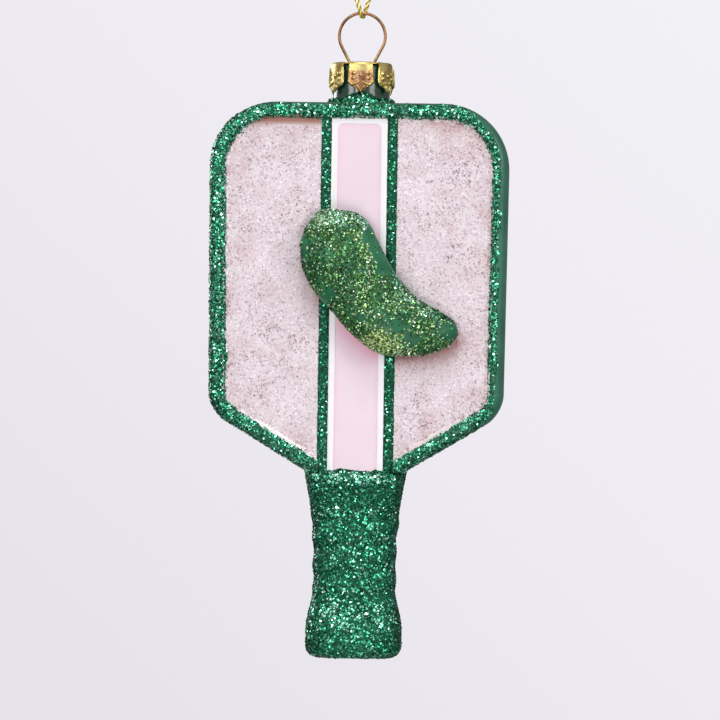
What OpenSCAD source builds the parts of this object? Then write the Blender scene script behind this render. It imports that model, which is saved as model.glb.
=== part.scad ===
// Pickleball ornament: a hollow blown-glass paddle with a raised rim, glitter and frost coats,
// an applied pickle, a leaf-tabbed cap, a spring-wire eye and a cord loop. Millimetres.
// The origin is the inside of the top of the cord loop. Z is up and the front faces -Y.

/* [Head] */
// Width of the head across its upper part
head_w = 59.6; // [52:0.2:68]
// Height of the head from its top edge to the top of the grip
head_h = 73.4; // [64:0.2:84]
// Thickness of the head across the crest of the rim
head_t = 18; // [14:0.5:22]
// Radius of the two upper corners
corner_r = 13.2; // [9:0.2:18]
// Radius of the two lower corners
lower_r = 7; // [4.5:0.5:10]
// Slope of the lower edges, from level
taper = 31; // [26:1:36]
// Lean of the sides, narrower below
side_lean = 0.6; // [0:0.1:1.5]
// Width of the raised rim, from the outline to the panel
rim_w = 3.2; // [2.6:0.1:4]
// Depth of the panels under the crest of the rim
recess = 1; // [0.6:0.1:1.4]
// Thickness of the glass
wall = 1; // [0.7:0.1:1.3]

/* [Grip] */
// Width of the glass at the top of the grip
throat_w = 19.8; // [17:0.2:23]
// Width of the glass along the middle of the grip
grip_w = 15.6; // [13:0.2:17]
// Depth of the glass along the middle of the grip
grip_t = 13.2; // [11:0.2:15]
// Width of the flared butt
butt_w = 18.6; // [15:0.2:22]
// Length of the grip below the head
grip_l = 36.9; // [32:0.5:42]
// Depth of the flared butt
butt_t = 15.6; // [13:0.2:18]
// Radius round the bottom edge
butt_r = 2.2; // [1.2:0.1:3]
// How far the top of the grip stands over the crest of the rim
grip_rise = 0.6; // [0.3:0.1:1]
// Height of the spiral wrap ridges
ridge_h = 0.35; // [0:0.05:0.6]
// Distance from one wrap ridge to the next
ridge_pitch = 5.4; // [4:0.2:7]

/* [Neck and cap] */
// Outer diameter of the glass neck
neck_d = 11.2; // [10:0.1:12.4]
// How far the neck spreads at its foot, and the height of that spread
foot_flare = 0.6; // [0.3:0.1:0.8]
foot_h = 2; // [1:0.1:2]
// Height of the neck above the head
neck_h = 7.3; // [6.6:0.1:9]
// Radial clearance of the cap round the neck
cap_clear = 0.3; // [0.2:0.05:0.5]
// Thickness of the cap's sheet brass
cap_sheet = 0.3; // [0.2:0.05:0.4]
// Depth of the leaf tabs, from the top of the cap to their tips
cap_h = 5.7; // [4.8:0.1:6]
// Outward spread of the tabs at their tips
cap_flare = 0.35; // [0:0.05:0.6]
// Number of leaf tabs
cap_tabs = 6; // [4:1:6]

/* [Hanger wire] */
// Wire diameter
wire_d = 0.6; // [0.5:0.05:1]
// Outer diameter of the eye
eye_d = 9.8; // [8.6:0.2:12]
// Height of the eye's centre over the cap
eye_lift = 5.6; // [5:0.1:7]
// Distance between the legs where they enter the cap
leg_gap = 4.6; // [4:0.1:5]
// Distance between the legs' lower ends
leg_spread = 7; // [6:0.1:7.2]
// Length of the legs below the top of the cap
leg_l = 14; // [12:0.5:18]
// Clearance round the wire in the cap's slots
slot_clear = 0.2; // [0.15:0.05:0.3]
// How far the wire can be drawn up out of the cap
draw = 10; // [6:0.5:10]

/* [Coats] */
// Thickness of the glitter on the rim and the grip
coat = 0.3; // [0.2:0.05:0.45]
// Spread and height of the glitter round the foot of the neck
collar_w = 0.5; // [0.3:0.05:0.7]
collar_h = 1.2; // [0.8:0.1:1.6]
// Width and height of the mound of glitter in front of the neck
mound_w = 7; // [5:0.2:8]
mound_h = 2; // [1.4:0.1:2]
// Thickness of the frost on the panels, and the bare strip between it and the rim
frost = 0.2; // [0.1:0.05:0.3]
frost_gap = 0.8; // [0.4:0.1:1]
// Thickness of the pink stripe
enamel = 0.15; // [0.1:0.05:0.25]
// Thickness of the white line round the stripe
border_t = 0.25; // [0.15:0.05:0.35]
// Width of the pink stripe
stripe_w = 8.5; // [7:0.1:9.5]
// Width of a raised glitter line
line_w = 2; // [1.4:0.1:2.6]
// Height of a raised glitter line
line_h = 0.6; // [0.4:0.05:0.8]
// Distance between the centres of the two lines
line_gap = 13.1; // [12.4:0.1:15]

/* [Pickle] */
// Length from end to end
pickle_l = 34; // [28:0.5:38]
// Greatest width
pickle_w = 16.4; // [13:0.2:18]
// Height over its flat back
pickle_h = 7.5; // [5:0.1:9]
// Middle of the pickle, right of the centre line
pickle_x = 1.2; // [-1:0.1:3]
// Middle of the pickle, below the top of the head
pickle_drop = 36; // [33:0.5:39]
// Height of the warts
wart_h = 0.4; // [0:0.05:0.6]

/* [Cord] */
// Cord diameter
cord_d = 1; // [0.8:0.1:1]
// Length of the two tails beyond the middle of the knot
tail_l = 5; // [3:0.5:8]

/* [Hidden] */
$fn = 64;
// Bond line between a coat and the curved glass under it, and the gap beside a flat coat
bond = 0.03;
side_gap = 0.04;

// Heights of the main features
eye_top_z = -22;
eye_r = (eye_d - wire_d) / 2;
eye_z = eye_top_z - eye_r;
cap_z = eye_z - eye_lift;
mouth_z = cap_z - cap_sheet - cap_clear;
head_z = mouth_z - neck_h;
throat_z = head_z - head_h;

// Rim section: where the crest lies, and the depths of the crest and the panel from mid-plane
crest_in = 0.6 * rim_w;
crest_y = head_t / 2;
face_y = crest_y - recess;
round_e = 2 / 3;
foot_r = rim_w + 1.2;
foot_z = throat_z - rim_w - 0.3;

// Arc centres of the right half of the outline: upper corner, lower corner and foot
side_n = [cos(side_lean), -sin(side_lean)];
taper_n = [sin(taper), -cos(taper)];
c_top = [head_w / 2 - corner_r, head_z - corner_r];
side_b = side_n * c_top + corner_r - lower_r;
taper_b = taper_n * [throat_w / 2, throat_z] - lower_r;
det = side_n.x * taper_n.y - side_n.y * taper_n.x;
c_low = [
    (side_b * taper_n.y - taper_b * side_n.y) / det,
    (side_n.x * taper_b - taper_n.x * side_b) / det
];
c_foot_z = foot_z + foot_r;
c_foot = [(taper_n * c_low + lower_r - foot_r - taper_n.y * c_foot_z) / taper_n.x, c_foot_z];

// Grip: shoulder height, flare length, and depth at the throat
shoulder = 1.6;
flare_l = 9;
throat_t = head_t + 2 * grip_rise;

// Stripe, lines and pickle seat, and the way left for them through the rim at the grip
line_x = line_gap / 2;
gate_x = line_x + line_w / 2 + side_gap;
gate_h = 5;
border_w = line_x - line_w / 2 - side_gap - stripe_w / 2;
panel_top = head_z - rim_w - side_gap;
seat_y = face_y + line_h + 0.05;
pickle_c = [pickle_x, head_z - pickle_drop];
// Where along it the pickle is fattest, how bluntly it starts and how it draws out to the tip
fattest = 0.36;
blunt = 0.256;
drawn_out = 0.45;
// Lumps and hollows on the outside of its curve: place along it, share of the width, spread
lumps = [[0.03, -0.17, 0.06], [0.24, 0.07, 0.08], [0.48, -0.12, 0.09], [0.71, 0.09, 0.06]];
spine = pickle_l * [[-0.165, 0.424], [-0.194, 0.082], [0.062, -0.359], [0.553, -0.265]];

// Neck, cap and wire fits
neck_r = neck_d / 2;
bore_r = neck_r - wall;
cap_in_r = neck_r + cap_clear;
cap_out_r = cap_in_r + cap_sheet;
cap_round = 2 * cap_sheet;
leg_x = leg_gap / 2;
leg_dir = [(leg_spread - leg_gap) / 2, -leg_l];
leg_slope = leg_dir.x / leg_l;
to_leg = [leg_x, -eye_lift];
leave_a = atan2(to_leg.y, to_leg.x) + acos(eye_r / norm(to_leg));
bend_r = 1.2;

// Route of one half of the cord, from under the wire up to the knot
cord_half = [
    [0, 0, -22.66], [-0.2, -0.5, -22.48], [-0.42, -0.74, -21.95], [-0.62, -0.76, -21.2], [-0.85, -0.66, -20.4],
    [-1.15, -0.5, -19.4], [-2, -0.35, -17.2], [-3.2, -0.2, -14.4], [-4.4, 0, -11.4], [-5.2, 0, -8.4],
    [-5.3, 0, -5.4],
    [-4.5, 0, -2.6], [-3, 0, -0.6], [-1.4, 0, 0.6], [-0.5, 0, 1.2]
];
knot_z = 1.2;
// Share of its thickness that the cord keeps where it is drawn tight round the wire
pinch = [0.6, 0.64, 0.72, 0.84, 0.94];

function unit(v) = v / norm(v);
function back_to_front(list) = [for (i = [len(list) - 1:-1:0]) list[i]];
function ramp(t) = let (u = min(max(t, 0), 1)) u * u * (3 - 2 * u);
function signed_pow(v, e) = sign(v) * pow(abs(v), e);

// Arc points round a centre
function arc(c, r, a0, a1, n) = [
    for (i = [0:n]) let (a = a0 + (a1 - a0) * i / n) c + r * [cos(a), sin(a)]
];

// Right half of the head outline, moved inwards, from the top edge to the foot
function half_outline(inset) = concat(
    arc(c_top, corner_r - inset, 90, -side_lean, 10),
    arc(c_low, lower_r - inset, -side_lean, taper - 90, 6),
    arc(c_foot, foot_r - inset, taper - 90, -90, 3)
);

// Whole head outline, moved inwards, clockwise from the front
function outline(inset) = let (right = half_outline(inset)) concat(
    right, [for (p = back_to_front(right)) [-p.x, p.y]]
);

// Rim section from the panel up the inner side of the rim, as inset and depth
function rim_inner(u, grow) = [
    crest_in + (rim_w - crest_in + grow) * cos(90 * u),
    face_y + (recess + grow) * sin(90 * u)
];

// Rim section from the crest round to the middle of the edge
function rim_outer(u, grow) = [
    (crest_in + grow) * (1 - pow(sin(90 * u), round_e)) - grow,
    (crest_y + grow) * pow(cos(90 * u), round_e)
];

function ring_at(inset, y) = [for (p = outline(inset)) [p.x, y, p.y]];

// Closed skin over rings of equal length, with a flat cap at each end
module skin(rings, flip = false) {
    n = len(rings[0]);
    m = len(rings);
    first = [for (k = [0:n - 1]) k];
    last = [for (k = [n - 1:-1:0]) (m - 1) * n + k];
    sides = [
        for (i = [0:m - 2]) for (k = [0:n - 1])
            let (a = i * n + k, b = i * n + (k + 1) % n)
            each [[a, a + n, b + n], [a, b + n, b]]
    ];
    shell = concat([first], sides, [last]);
    polyhedron(
        points = [for (r = rings) each r],
        faces = flip ? [for (f = shell) back_to_front(f)] : shell
    );
}

// Closed loop of section rings, with no ends
module loop_skin(rings) {
    n = len(rings[0]);
    m = len(rings);
    polyhedron(
        points = [for (r = rings) each r],
        faces = [
            for (i = [0:m - 1]) for (k = [0:n - 1])
                let (j = (i + 1) % m, a = i * n + k, b = i * n + (k + 1) % n,
                     c = j * n + (k + 1) % n, d = j * n + k)
                each [[a, c, d], [a, b, c]]
        ]
    );
}

// Solid head, edge to edge, cut level over the top of the grip
module head_body() {
    front = concat(
        [for (i = [0:3]) rim_inner(i / 3, 0)],
        [for (i = [1:5]) rim_outer(i / 6, 0)]
    );
    difference() {
        skin(concat(
            [for (p = front) ring_at(p.x, -p.y)],
            [ring_at(0, 0)],
            [for (p = back_to_front(front)) ring_at(p.x, p.y)]
        ));
        union() {
            translate([-head_w, -head_t, throat_z + side_gap - head_h])
                cube([2 * head_w, 2 * head_t, head_h]);
            gate();
            mirror([0, 1, 0]) gate();
        }
    }
}

// Way for the stripe and the lines through the front of the rim
module gate() {
    translate([-gate_x, -head_t, throat_z - gate_h])
        cube([2 * gate_x, head_t - face_y, 2 * gate_h]);
}

// Hollow inside the head
module head_hollow() {
    front = [
        for (i = [0:3]) let (u = i / 4) [
            wall + (crest_in + 0.6) * (1 - pow(sin(90 * u), round_e)),
            (face_y - wall) * pow(cos(90 * u), round_e)
        ]
    ];
    skin(concat(
        [for (p = front) ring_at(p.x, -p.y)],
        [ring_at(wall, 0)],
        [for (p = back_to_front(front)) ring_at(p.x, p.y)]
    ));
}

// Half sizes of the grip at a distance below the throat
function flare(s) = pow(max(0, 1 - s / flare_l), 1.6);
function butt(s) = ramp((s - 0.62 * grip_l) / (0.24 * grip_l));
function grip_x(s) = grip_w / 2 + (throat_w - grip_w) / 2 * flare(max(s, 0)) + (butt_w - grip_w) / 2 * butt(s);
function shoulder_y(s) = face_y
    + (throat_t / 2 - face_y) * sqrt(1 - pow(1 - min(max(s, 0), shoulder) / shoulder, 2));
function grip_y(s) = s < shoulder ? shoulder_y(s)
    : grip_t / 2 + (throat_t - grip_t) / 2 * flare((s - shoulder) * flare_l / (flare_l - shoulder))
        + (butt_t - grip_t) / 2 * butt(s);
function grip_e(s) = 2 / (5 - 2 * ramp((s - 4) / 6));
function ridge(s, a) = ridge_h * (0.5 + 0.5 * cos(360 * s / ridge_pitch + a)) * ramp((s - 7) / 3)
    * ramp((0.7 * grip_l - s) / 3);
function butt_cut(s, l) = let (d = s - l + butt_r) d > 0 ? butt_r - sqrt(max(0, butt_r * butt_r - d * d)) : 0;

// One level ring of the grip, grown outwards
function grip_ring(s, grow, l, sides, ridges) = [
    for (k = [0:sides - 1])
        let (a = 360 * k / sides, e = grip_e(s),
             off = grow - butt_cut(s, l) + (ridges ? ridge(s, a) : 0))
        [(grip_x(s) + off) * signed_pow(cos(a), e), (grip_y(s) + off) * signed_pow(sin(a), e), throat_z - s]
];

// Levels of the grip, from the throat to the bottom edge
function grip_levels(l) = concat(
    [0, 0.2, 0.5, 1, 1.6, 2.6, 3.8, 5, 6.2, 7.4],
    [for (i = [1:15]) 7.4 + (l - butt_r - 7.4) * i / 15],
    [for (i = [1:4]) l - butt_r + butt_r * sin(20 * i)],
    [l]
);

module grip_body() {
    skin(back_to_front(concat(
        [[for (p = grip_ring(0, -2.2, grip_l, 28, false)) [p.x, p.y, p.z + 2]]],
        [for (s = grip_levels(grip_l)) grip_ring(s, 0, grip_l, 28, true)]
    )));
}

module grip_hollow() {
    l = grip_l - wall;
    skin(back_to_front(concat(
        [[for (p = grip_ring(0, -wall - 0.6, l, 20, false)) [p.x, p.y, p.z + 2.5]]],
        [for (i = [0:11]) let (s = (l - butt_r) * i / 11) grip_ring(s, -wall, l, 20, false)],
        [for (i = [1:3]) let (s = l - butt_r + butt_r * sin(27 * i)) grip_ring(s, -wall, l, 20, false)]
    )));
}

// Neck with its spread foot, grown outwards
module neck_body(grow) {
    translate([0, 0, head_z - foot_h])
        cylinder(h = neck_h + foot_h, r = neck_r + grow);
    translate([0, 0, head_z - foot_h / 4])
        cylinder(h = 1.25 * foot_h, r1 = neck_r + foot_flare + grow, r2 = neck_r + grow);
}

module glass_shell() {
    color("honeydew")
    difference() {
        union() {
            head_body();
            grip_body();
            neck_body(0);
        }
        union() {
            head_hollow();
            grip_hollow();
        }
        translate([0, 0, head_z - 3])
            cylinder(h = neck_h + 4, r = bore_r);
    }
}

// Points of the rim section under the glitter, at the same steps as the glass
function band_line(grow) = concat(
    [for (i = [1:3]) rim_inner(i / 3, grow)],
    [for (i = [1:3]) rim_outer(i / 6, grow)]
);

// Glitter over the front of the rim, stopped at the top of the grip
module rim_band() {
    section = concat(band_line(coat), back_to_front(band_line(bond)));
    columns = [for (p = section) outline(p.x)];
    difference() {
        loop_skin([
            for (j = [0:len(columns[0]) - 1])
                [for (k = [0:len(section) - 1]) [columns[k][j].x, -section[k].y, columns[k][j].y]]
        ]);
        union() {
            translate([-head_w, -head_t, throat_z + side_gap - head_h])
                cube([2 * head_w, 2 * head_t, head_h]);
            gate();
        }
    }
}

module front_rim_glitter() {
    color("seagreen") rim_band();
}

module back_rim_glitter() {
    color("seagreen") mirror([0, 1, 0]) rim_band();
}

// Collar of glitter round the neck, with a mound in front
module neck_glitter() {
    r = neck_r + foot_flare;
    dome = mound_w * 0.57;
    color("seagreen")
    difference() {
        union() {
            translate([0, 0, head_z + side_gap])
                rotate_extrude()
                    polygon([
                        [0, 0], [r + collar_w, 0], [r + 0.6 * collar_w, 0.4 * collar_h],
                        [neck_r, collar_h], [0, collar_h]
                    ]);
            intersection() {
                translate([0, -0.84 * neck_r, head_z - 0.4 * dome])
                    rotate([90, 0, 0])
                        rotate_extrude()
                            polygon(dome * [[0, 0], [1, 0], [0.97, 0.22], [0.85, 0.4], [0.6, 0.53], [0.3, 0.6],
                                            [0, 0.62]]);
                translate([-mound_w, -2 * neck_r, head_z + side_gap])
                    cube([2 * mound_w, 2 * neck_r, mound_h - side_gap]);
            }
        }
        neck_body(bond);
    }
}

// Glitter sleeve: up the inside, over the top edge and down the outside
module grip_glitter() {
    inner_l = grip_l + bond;
    outer_l = grip_l + coat;
    color("seagreen")
    skin(concat(
        [for (s = back_to_front(grip_levels(inner_l))) grip_ring(s, bond, inner_l, 28, true)],
        [for (s = grip_levels(outer_l)) grip_ring(s, coat, outer_l, 28, true)]
    ), flip = true);
}

// Flat coat on the front panel
module front_coat(t) {
    translate([0, -face_y, 0])
        rotate([90, 0, 0])
            linear_extrude(t) children();
}

module frost_shape() {
    intersection() {
        polygon(outline(rim_w + frost_gap));
        translate([gate_x, throat_z]) square([head_w, head_h]);
    }
}

module front_right_frost() {
    color("mistyrose") front_coat(frost) frost_shape();
}

module front_left_frost() {
    color("mistyrose") mirror([1, 0, 0]) front_coat(frost) frost_shape();
}

module back_right_frost() {
    color("mistyrose") mirror([0, 1, 0]) front_coat(frost) frost_shape();
}

module back_left_frost() {
    color("mistyrose") mirror([0, 1, 0]) mirror([1, 0, 0]) front_coat(frost) frost_shape();
}

// Pink stripe with two rounded top corners, grown for the opening in its border
module stripe_shape(grow) {
    half = stripe_w / 2 + grow;
    top = panel_top - border_w + grow;
    r = 1 + grow;
    foot = throat_z + side_gap;
    translate([-half, foot]) square([2 * half, top - r - foot]);
    translate([-half + r, foot]) square([2 * (half - r), top - foot]);
    for (x = [-half + r, half - r])
        translate([x, top - r]) circle(r);
}

module border_shape() {
    half = stripe_w / 2 + border_w;
    difference() {
        translate([-half, throat_z + side_gap]) square([2 * half, panel_top - throat_z - side_gap]);
        union() {
            stripe_shape(side_gap);
            translate([-stripe_w / 2 - side_gap, throat_z - 1]) square([stripe_w + 2 * side_gap, 3]);
        }
    }
}

module front_stripe_enamel() {
    color("pink") front_coat(enamel) stripe_shape(0);
}

module back_stripe_enamel() {
    color("pink") mirror([0, 1, 0]) front_coat(enamel) stripe_shape(0);
}

module front_stripe_border() {
    color("white") front_coat(border_t) border_shape();
}

module back_stripe_border() {
    color("white") mirror([0, 1, 0]) front_coat(border_t) border_shape();
}

// Raised line: a round-topped bead along the panel
module line_bead() {
    r = (line_w * line_w / 4 + line_h * line_h) / (2 * line_h);
    foot = throat_z + side_gap;
    translate([line_x, -face_y, foot])
        linear_extrude(panel_top - foot)
            intersection() {
                translate([0, r - line_h]) circle(r);
                translate([-line_w, -2 * line_w]) square(2 * line_w);
            }
}

module front_right_line() {
    color("seagreen") line_bead();
}

module front_left_line() {
    color("seagreen") mirror([1, 0, 0]) line_bead();
}

module back_right_line() {
    color("seagreen") mirror([0, 1, 0]) line_bead();
}

module back_left_line() {
    color("seagreen") mirror([0, 1, 0]) mirror([1, 0, 0]) line_bead();
}

// Pickle spine, its direction, and the half width along it on the inside and the outside of its curve
function spine_at(t) = let (a = 1 - t) pickle_c
    + a * a * a * spine[0] + 3 * a * a * t * spine[1] + 3 * a * t * t * spine[2] + t * t * t * spine[3];
function spine_dir(t) = let (a = 1 - t) unit(
    a * a * (spine[1] - spine[0]) + 2 * a * t * (spine[2] - spine[1]) + t * t * (spine[3] - spine[2]));
function sum(v) = v * [for (x = v) 1];
function swell(t) = pow(t / fattest, blunt) * pow((1 - t) / (1 - fattest), drawn_out);
function lump(t, p) = p[1] * exp(-pow((t - p[0]) / p[2], 2));
function pickle_half(t, side) = side > 0
    ? pickle_w / 2 * swell(t)
    : max(0, pickle_w / 2 * swell(t) * (0.92 + sum([for (p = lumps) lump(t, p)])));
function wart(t, u) = wart_h * sin(180 * u) * sin(360 * (3.5 * t + 0.5 * u)) * sin(360 * (2.5 * u - t));

// One section of the pickle, flat at the back and round in front
function pickle_ring(t, sides) = let (
    c = spine_at(t), d = spine_dir(t), share = (pickle_half(t, 1) + pickle_half(t, -1)) / pickle_w,
    h = pickle_h * pow(share, 0.8), mid = 0.36 * h, up = 0.64 * h, start = asin(mid / up)
) [
    for (k = [0:sides])
        let (u = k / sides, a = -start + (180 + 2 * start) * u, b = wart(t, u) * share,
             x = (pickle_half(t, cos(a)) + b) * cos(a), y = mid + (up + b) * sin(a))
        [c.x - x * d.y, -seat_y - max(y, 0), c.y + x * d.x]
];

module pickle() {
    color("forestgreen")
    skin([for (i = [0:26]) let (t = 0.5 - 0.498 * cos(180 * i / 26)) pickle_ring(t, 19)]);
}

module pickle_glue() {
    color("ivory")
    for (dab = [[-1.2, 0.3, 1.8], [0.8, 0.52, 2]])
        translate([dab[0], -face_y - enamel, spine_at(dab[1]).y])
            rotate([90, 0, 0])
                cylinder(h = seat_y - face_y - enamel, r = dab[2]);
}

// Outline of one leaf tab, hung from the edge of the cap
module tab_shape() {
    w = PI * cap_out_r / cap_tabs;
    polygon([
        [-0.72 * w, 2], [-0.72 * w, -0.2 * cap_h], [-0.8 * w, -0.4 * cap_h], [-0.84 * w, -0.6 * cap_h],
        [-0.7 * w, -0.76 * cap_h], [-0.4 * w, -0.87 * cap_h], [-0.12 * w, -0.94 * cap_h], [0, -cap_h],
        [0.12 * w, -0.94 * cap_h], [0.4 * w, -0.87 * cap_h], [0.7 * w, -0.76 * cap_h],
        [0.84 * w, -0.6 * cap_h], [0.8 * w, -0.4 * cap_h], [0.72 * w, -0.2 * cap_h], [0.72 * w, 2]
    ]);
}

// Section of the cap from its axis out over the rounded edge and down the spread skirt
function cap_section() = concat(
    [[0, 0]],
    arc([cap_out_r - cap_round, -cap_round], cap_round, 90, 0, 4),
    [[cap_out_r + cap_flare, -cap_h], [cap_in_r + cap_flare, -cap_h]],
    arc([cap_out_r - cap_round, -cap_round], cap_round - cap_sheet, 0, 90, 3),
    [[0, -cap_sheet]]
);

module cap() {
    near = leg_x - wire_d / 2 - slot_clear - 0.15;
    far = leg_x + leg_slope * draw + wire_d / 2 + slot_clear + 0.15;
    color("gold")
    translate([0, 0, cap_z])
    difference() {
        rotate_extrude() polygon(cap_section());
        // What lies between the tabs, up to the disc that they hang from
        difference() {
            translate([0, 0, -cap_h - 1]) cylinder(h = cap_h + 2, r = cap_out_r + 3);
            translate([0, 0, -cap_h - 2]) cylinder(h = cap_h + 4, r = cap_out_r - 3 * cap_sheet);
            for (i = [0:cap_tabs - 1])
                rotate([0, 0, 360 * i / cap_tabs])
                    rotate([90, 0, 0])
                        linear_extrude(cap_out_r + 4) tab_shape();
        }
        // Slots for the two legs, long enough for the spread of the legs as the wire is drawn up
        for (side = [-1, 1])
            translate([side > 0 ? near : -far, -wire_d / 2 - slot_clear, -2])
                cube([far - near, wire_d + 2 * slot_clear, 3]);
    }
}

// Straight wire between two points of the XZ plane, run on a little way into the bends at its ends
module wire_between(a, b, run_in, run_out) {
    d = b - a;
    translate([a.x, 0, a.y])
        rotate([0, atan2(d.x, d.y), 0])
            translate([0, 0, -run_in])
                cylinder(h = norm(d) + run_in + run_out, r = wire_d / 2 - 0.01);
}

// One leg: from the eye, round the bend at the cap, down into the neck
module wire_leg() {
    leave = [eye_r * cos(leave_a), eye_z + eye_r * sin(leave_a)];
    corner = [leg_x, cap_z];
    foot = corner + leg_dir;
    d_in = unit(corner - leave);
    d_out = unit(foot - corner);
    turn = acos(d_in * d_out);
    cut = bend_r * tan(turn / 2);
    from = corner - cut * d_in;
    centre = from + bend_r * [-d_in.y, d_in.x];
    wire_between(leave, from, 0.08, 0.08);
    wire_between(corner + cut * d_out, foot, 0.08, 0);
    // The bend turns from the inward slope to the outward one about a centre on the outer side
    translate([centre.x, 0, centre.y])
        rotate([90, 0, 0])
            rotate([0, 0, atan2(from.y - centre.y, from.x - centre.x)])
                rotate_extrude(angle = turn) translate([bend_r, 0]) circle(wire_d / 2);
}

module hanger_wire() {
    color("darkgoldenrod") {
        translate([0, 0, eye_z])
            rotate([90, 0, 0])
                rotate([0, 0, leave_a])
                    rotate_extrude(angle = 180 - 2 * leave_a) translate([eye_r, 0]) circle(wire_d / 2);
        wire_leg();
        mirror([1, 0, 0]) wire_leg();
    }
}

// Tube along a route, its section carried along without twist
function route_dir(p, i) = unit(p[min(i + 1, len(p) - 1)] - p[max(i - 1, 0)]);
function across(p, i, v) = let (d = route_dir(p, i)) unit(v - d * (v * d));
function carried(p, i, v) = i == len(p) ? [] : let (w = across(p, i, v)) concat([w], carried(p, i + 1, w));

module tube(p, radii, sides) {
    frames = carried(p, 0, [0, 1, 0.2]);
    skin([
        for (i = [0:len(p) - 1])
            let (u = frames[i], v = cross(route_dir(p, i), u))
            [for (k = [0:sides - 1]) let (a = 360 * k / sides) p[i] + radii[i] * (cos(a) * u + sin(a) * v)]
    ]);
}

module hanging_cord() {
    other = [for (i = [1:len(cord_half) - 1]) let (p = cord_half[i]) [-p.x, -p.y, p.z]];
    half = [for (i = [0:len(cord_half) - 1]) cord_d / 2 * (i < len(pinch) ? pinch[i] : 1)];
    radii = concat(back_to_front(half), [for (i = [1:len(half) - 1]) half[i]]);
    color("goldenrod") tube(concat(back_to_front(cord_half), other), radii, 8);
}

module cord_knot() {
    color("goldenrod") {
        translate([0, 0, knot_z])
            rotate_extrude()
                intersection() {
                    translate([0.4 * cord_d, 0]) circle(0.9 * cord_d);
                    translate([0, -2 * cord_d]) square(4 * cord_d);
                }
        for (side = [-1, 1])
            translate([0, 0, knot_z])
                rotate([0, 24 * side, 0])
                    cylinder(h = tail_l, r = 0.42 * cord_d);
    }
}

glass_shell();
front_rim_glitter();
back_rim_glitter();
neck_glitter();
grip_glitter();
front_left_frost();
front_right_frost();
back_left_frost();
back_right_frost();
front_stripe_enamel();
back_stripe_enamel();
front_stripe_border();
back_stripe_border();
front_left_line();
front_right_line();
back_left_line();
back_right_line();
pickle();
pickle_glue();
cap();
hanger_wire();
hanging_cord();
cord_knot();
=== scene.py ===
"""Pickleball ornament: a blown-glass paddle with glitter, frost, a pickle, a leaf cap and a cord loop.

Sizes are in millimetres until a mesh takes them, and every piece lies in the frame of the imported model.
"""
import logging
import math
from collections.abc import Callable, Iterator, Sequence
from contextlib import contextmanager
from dataclasses import dataclass, field
from enum import Enum

import bmesh
import bpy
import numpy as np
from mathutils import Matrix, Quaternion, Vector, noise


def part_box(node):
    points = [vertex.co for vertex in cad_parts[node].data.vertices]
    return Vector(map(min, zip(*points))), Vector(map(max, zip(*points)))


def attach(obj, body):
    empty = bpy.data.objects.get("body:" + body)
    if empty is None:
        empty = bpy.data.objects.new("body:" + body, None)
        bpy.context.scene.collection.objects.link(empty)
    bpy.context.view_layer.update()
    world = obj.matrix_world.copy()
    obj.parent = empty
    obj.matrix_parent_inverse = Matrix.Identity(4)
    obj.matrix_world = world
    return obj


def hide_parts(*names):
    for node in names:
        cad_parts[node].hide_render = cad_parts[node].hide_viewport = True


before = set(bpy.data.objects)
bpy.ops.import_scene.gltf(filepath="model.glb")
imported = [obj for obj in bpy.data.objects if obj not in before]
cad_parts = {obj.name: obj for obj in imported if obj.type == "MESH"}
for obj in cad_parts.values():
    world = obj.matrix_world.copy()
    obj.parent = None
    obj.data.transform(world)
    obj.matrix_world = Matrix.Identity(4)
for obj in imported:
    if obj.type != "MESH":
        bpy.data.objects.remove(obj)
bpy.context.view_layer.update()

MM = 0.001
# Points closer than this, in millimetres, are one point
WELD = 0.002
# A cutting plane or a mirror takes points this close, in millimetres, as lying on it
HAIR = 0.001
# Most of a noise texture lies between these values
CLOUDED = (0.3, 0.7)
Piece = bpy.types.Object
Tree = bpy.types.NodeTree
# Gives the pickle's painted pink shadow at places
Glow = Callable[[np.ndarray], np.ndarray]
Cover = Callable[[np.ndarray, np.ndarray], np.ndarray]
log = logging.getLogger("ornament")


class Body(Enum):
    """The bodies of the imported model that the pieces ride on."""

    CORD = "cord"
    HANGER = "hanger"
    CAP = "cap"
    PADDLE = "paddle"


class Kind(Enum):
    """What edit mode selects."""

    VERT = "VERT"
    FACE = "FACE"


class Flip(Enum):
    """Which way a copy is flipped, by its axis."""

    LEFT_RIGHT = 0
    FRONT_BACK = 1


# Colours, nodes and finishes


def linear(code: str) -> tuple[float, float, float, float]:
    """Turn an sRGB hex colour into the linear colour that Blender's sockets take.

    Args:
        code: The colour, such as "#1f6048".

    Returns:
        Red, green, blue and alpha.
    """
    parts = [int(code[i:i + 2], 16) / 255 for i in (1, 3, 5)]
    bent = [p / 12.92 if p <= 0.04045 else ((p + 0.055) / 1.055) ** 2.4 for p in parts]
    return bent[0], bent[1], bent[2], 1.0


def add_node(tree: Tree, kind: str, inputs: dict | None = None,
             stops: Sequence[tuple[float, str]] = (), **settings: object) -> bpy.types.Node:
    """Add one node with its settings, values and links.

    Args:
        tree: The node tree that takes it.
        kind: The node's type name, without the "ShaderNode" in front.
        inputs: Values or output sockets, by input name or number.
        stops: Places and sRGB colours of a colour ramp.
        settings: The node's own properties.

    Returns:
        The new node.
    """
    node = tree.nodes.new("ShaderNode" + kind)
    for key, value in settings.items():
        setattr(node, key, value)
    for key, value in (inputs or {}).items():
        if isinstance(value, bpy.types.NodeSocket):
            tree.links.new(value, node.inputs[key])
        else:
            node.inputs[key].default_value = value
    if stops:
        elements = node.color_ramp.elements
        while len(elements) < len(stops):
            elements.new(0.5)
        for element, (place, code) in zip(elements, stops):
            element.position = place
            element.color = linear(code)
    return node


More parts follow.
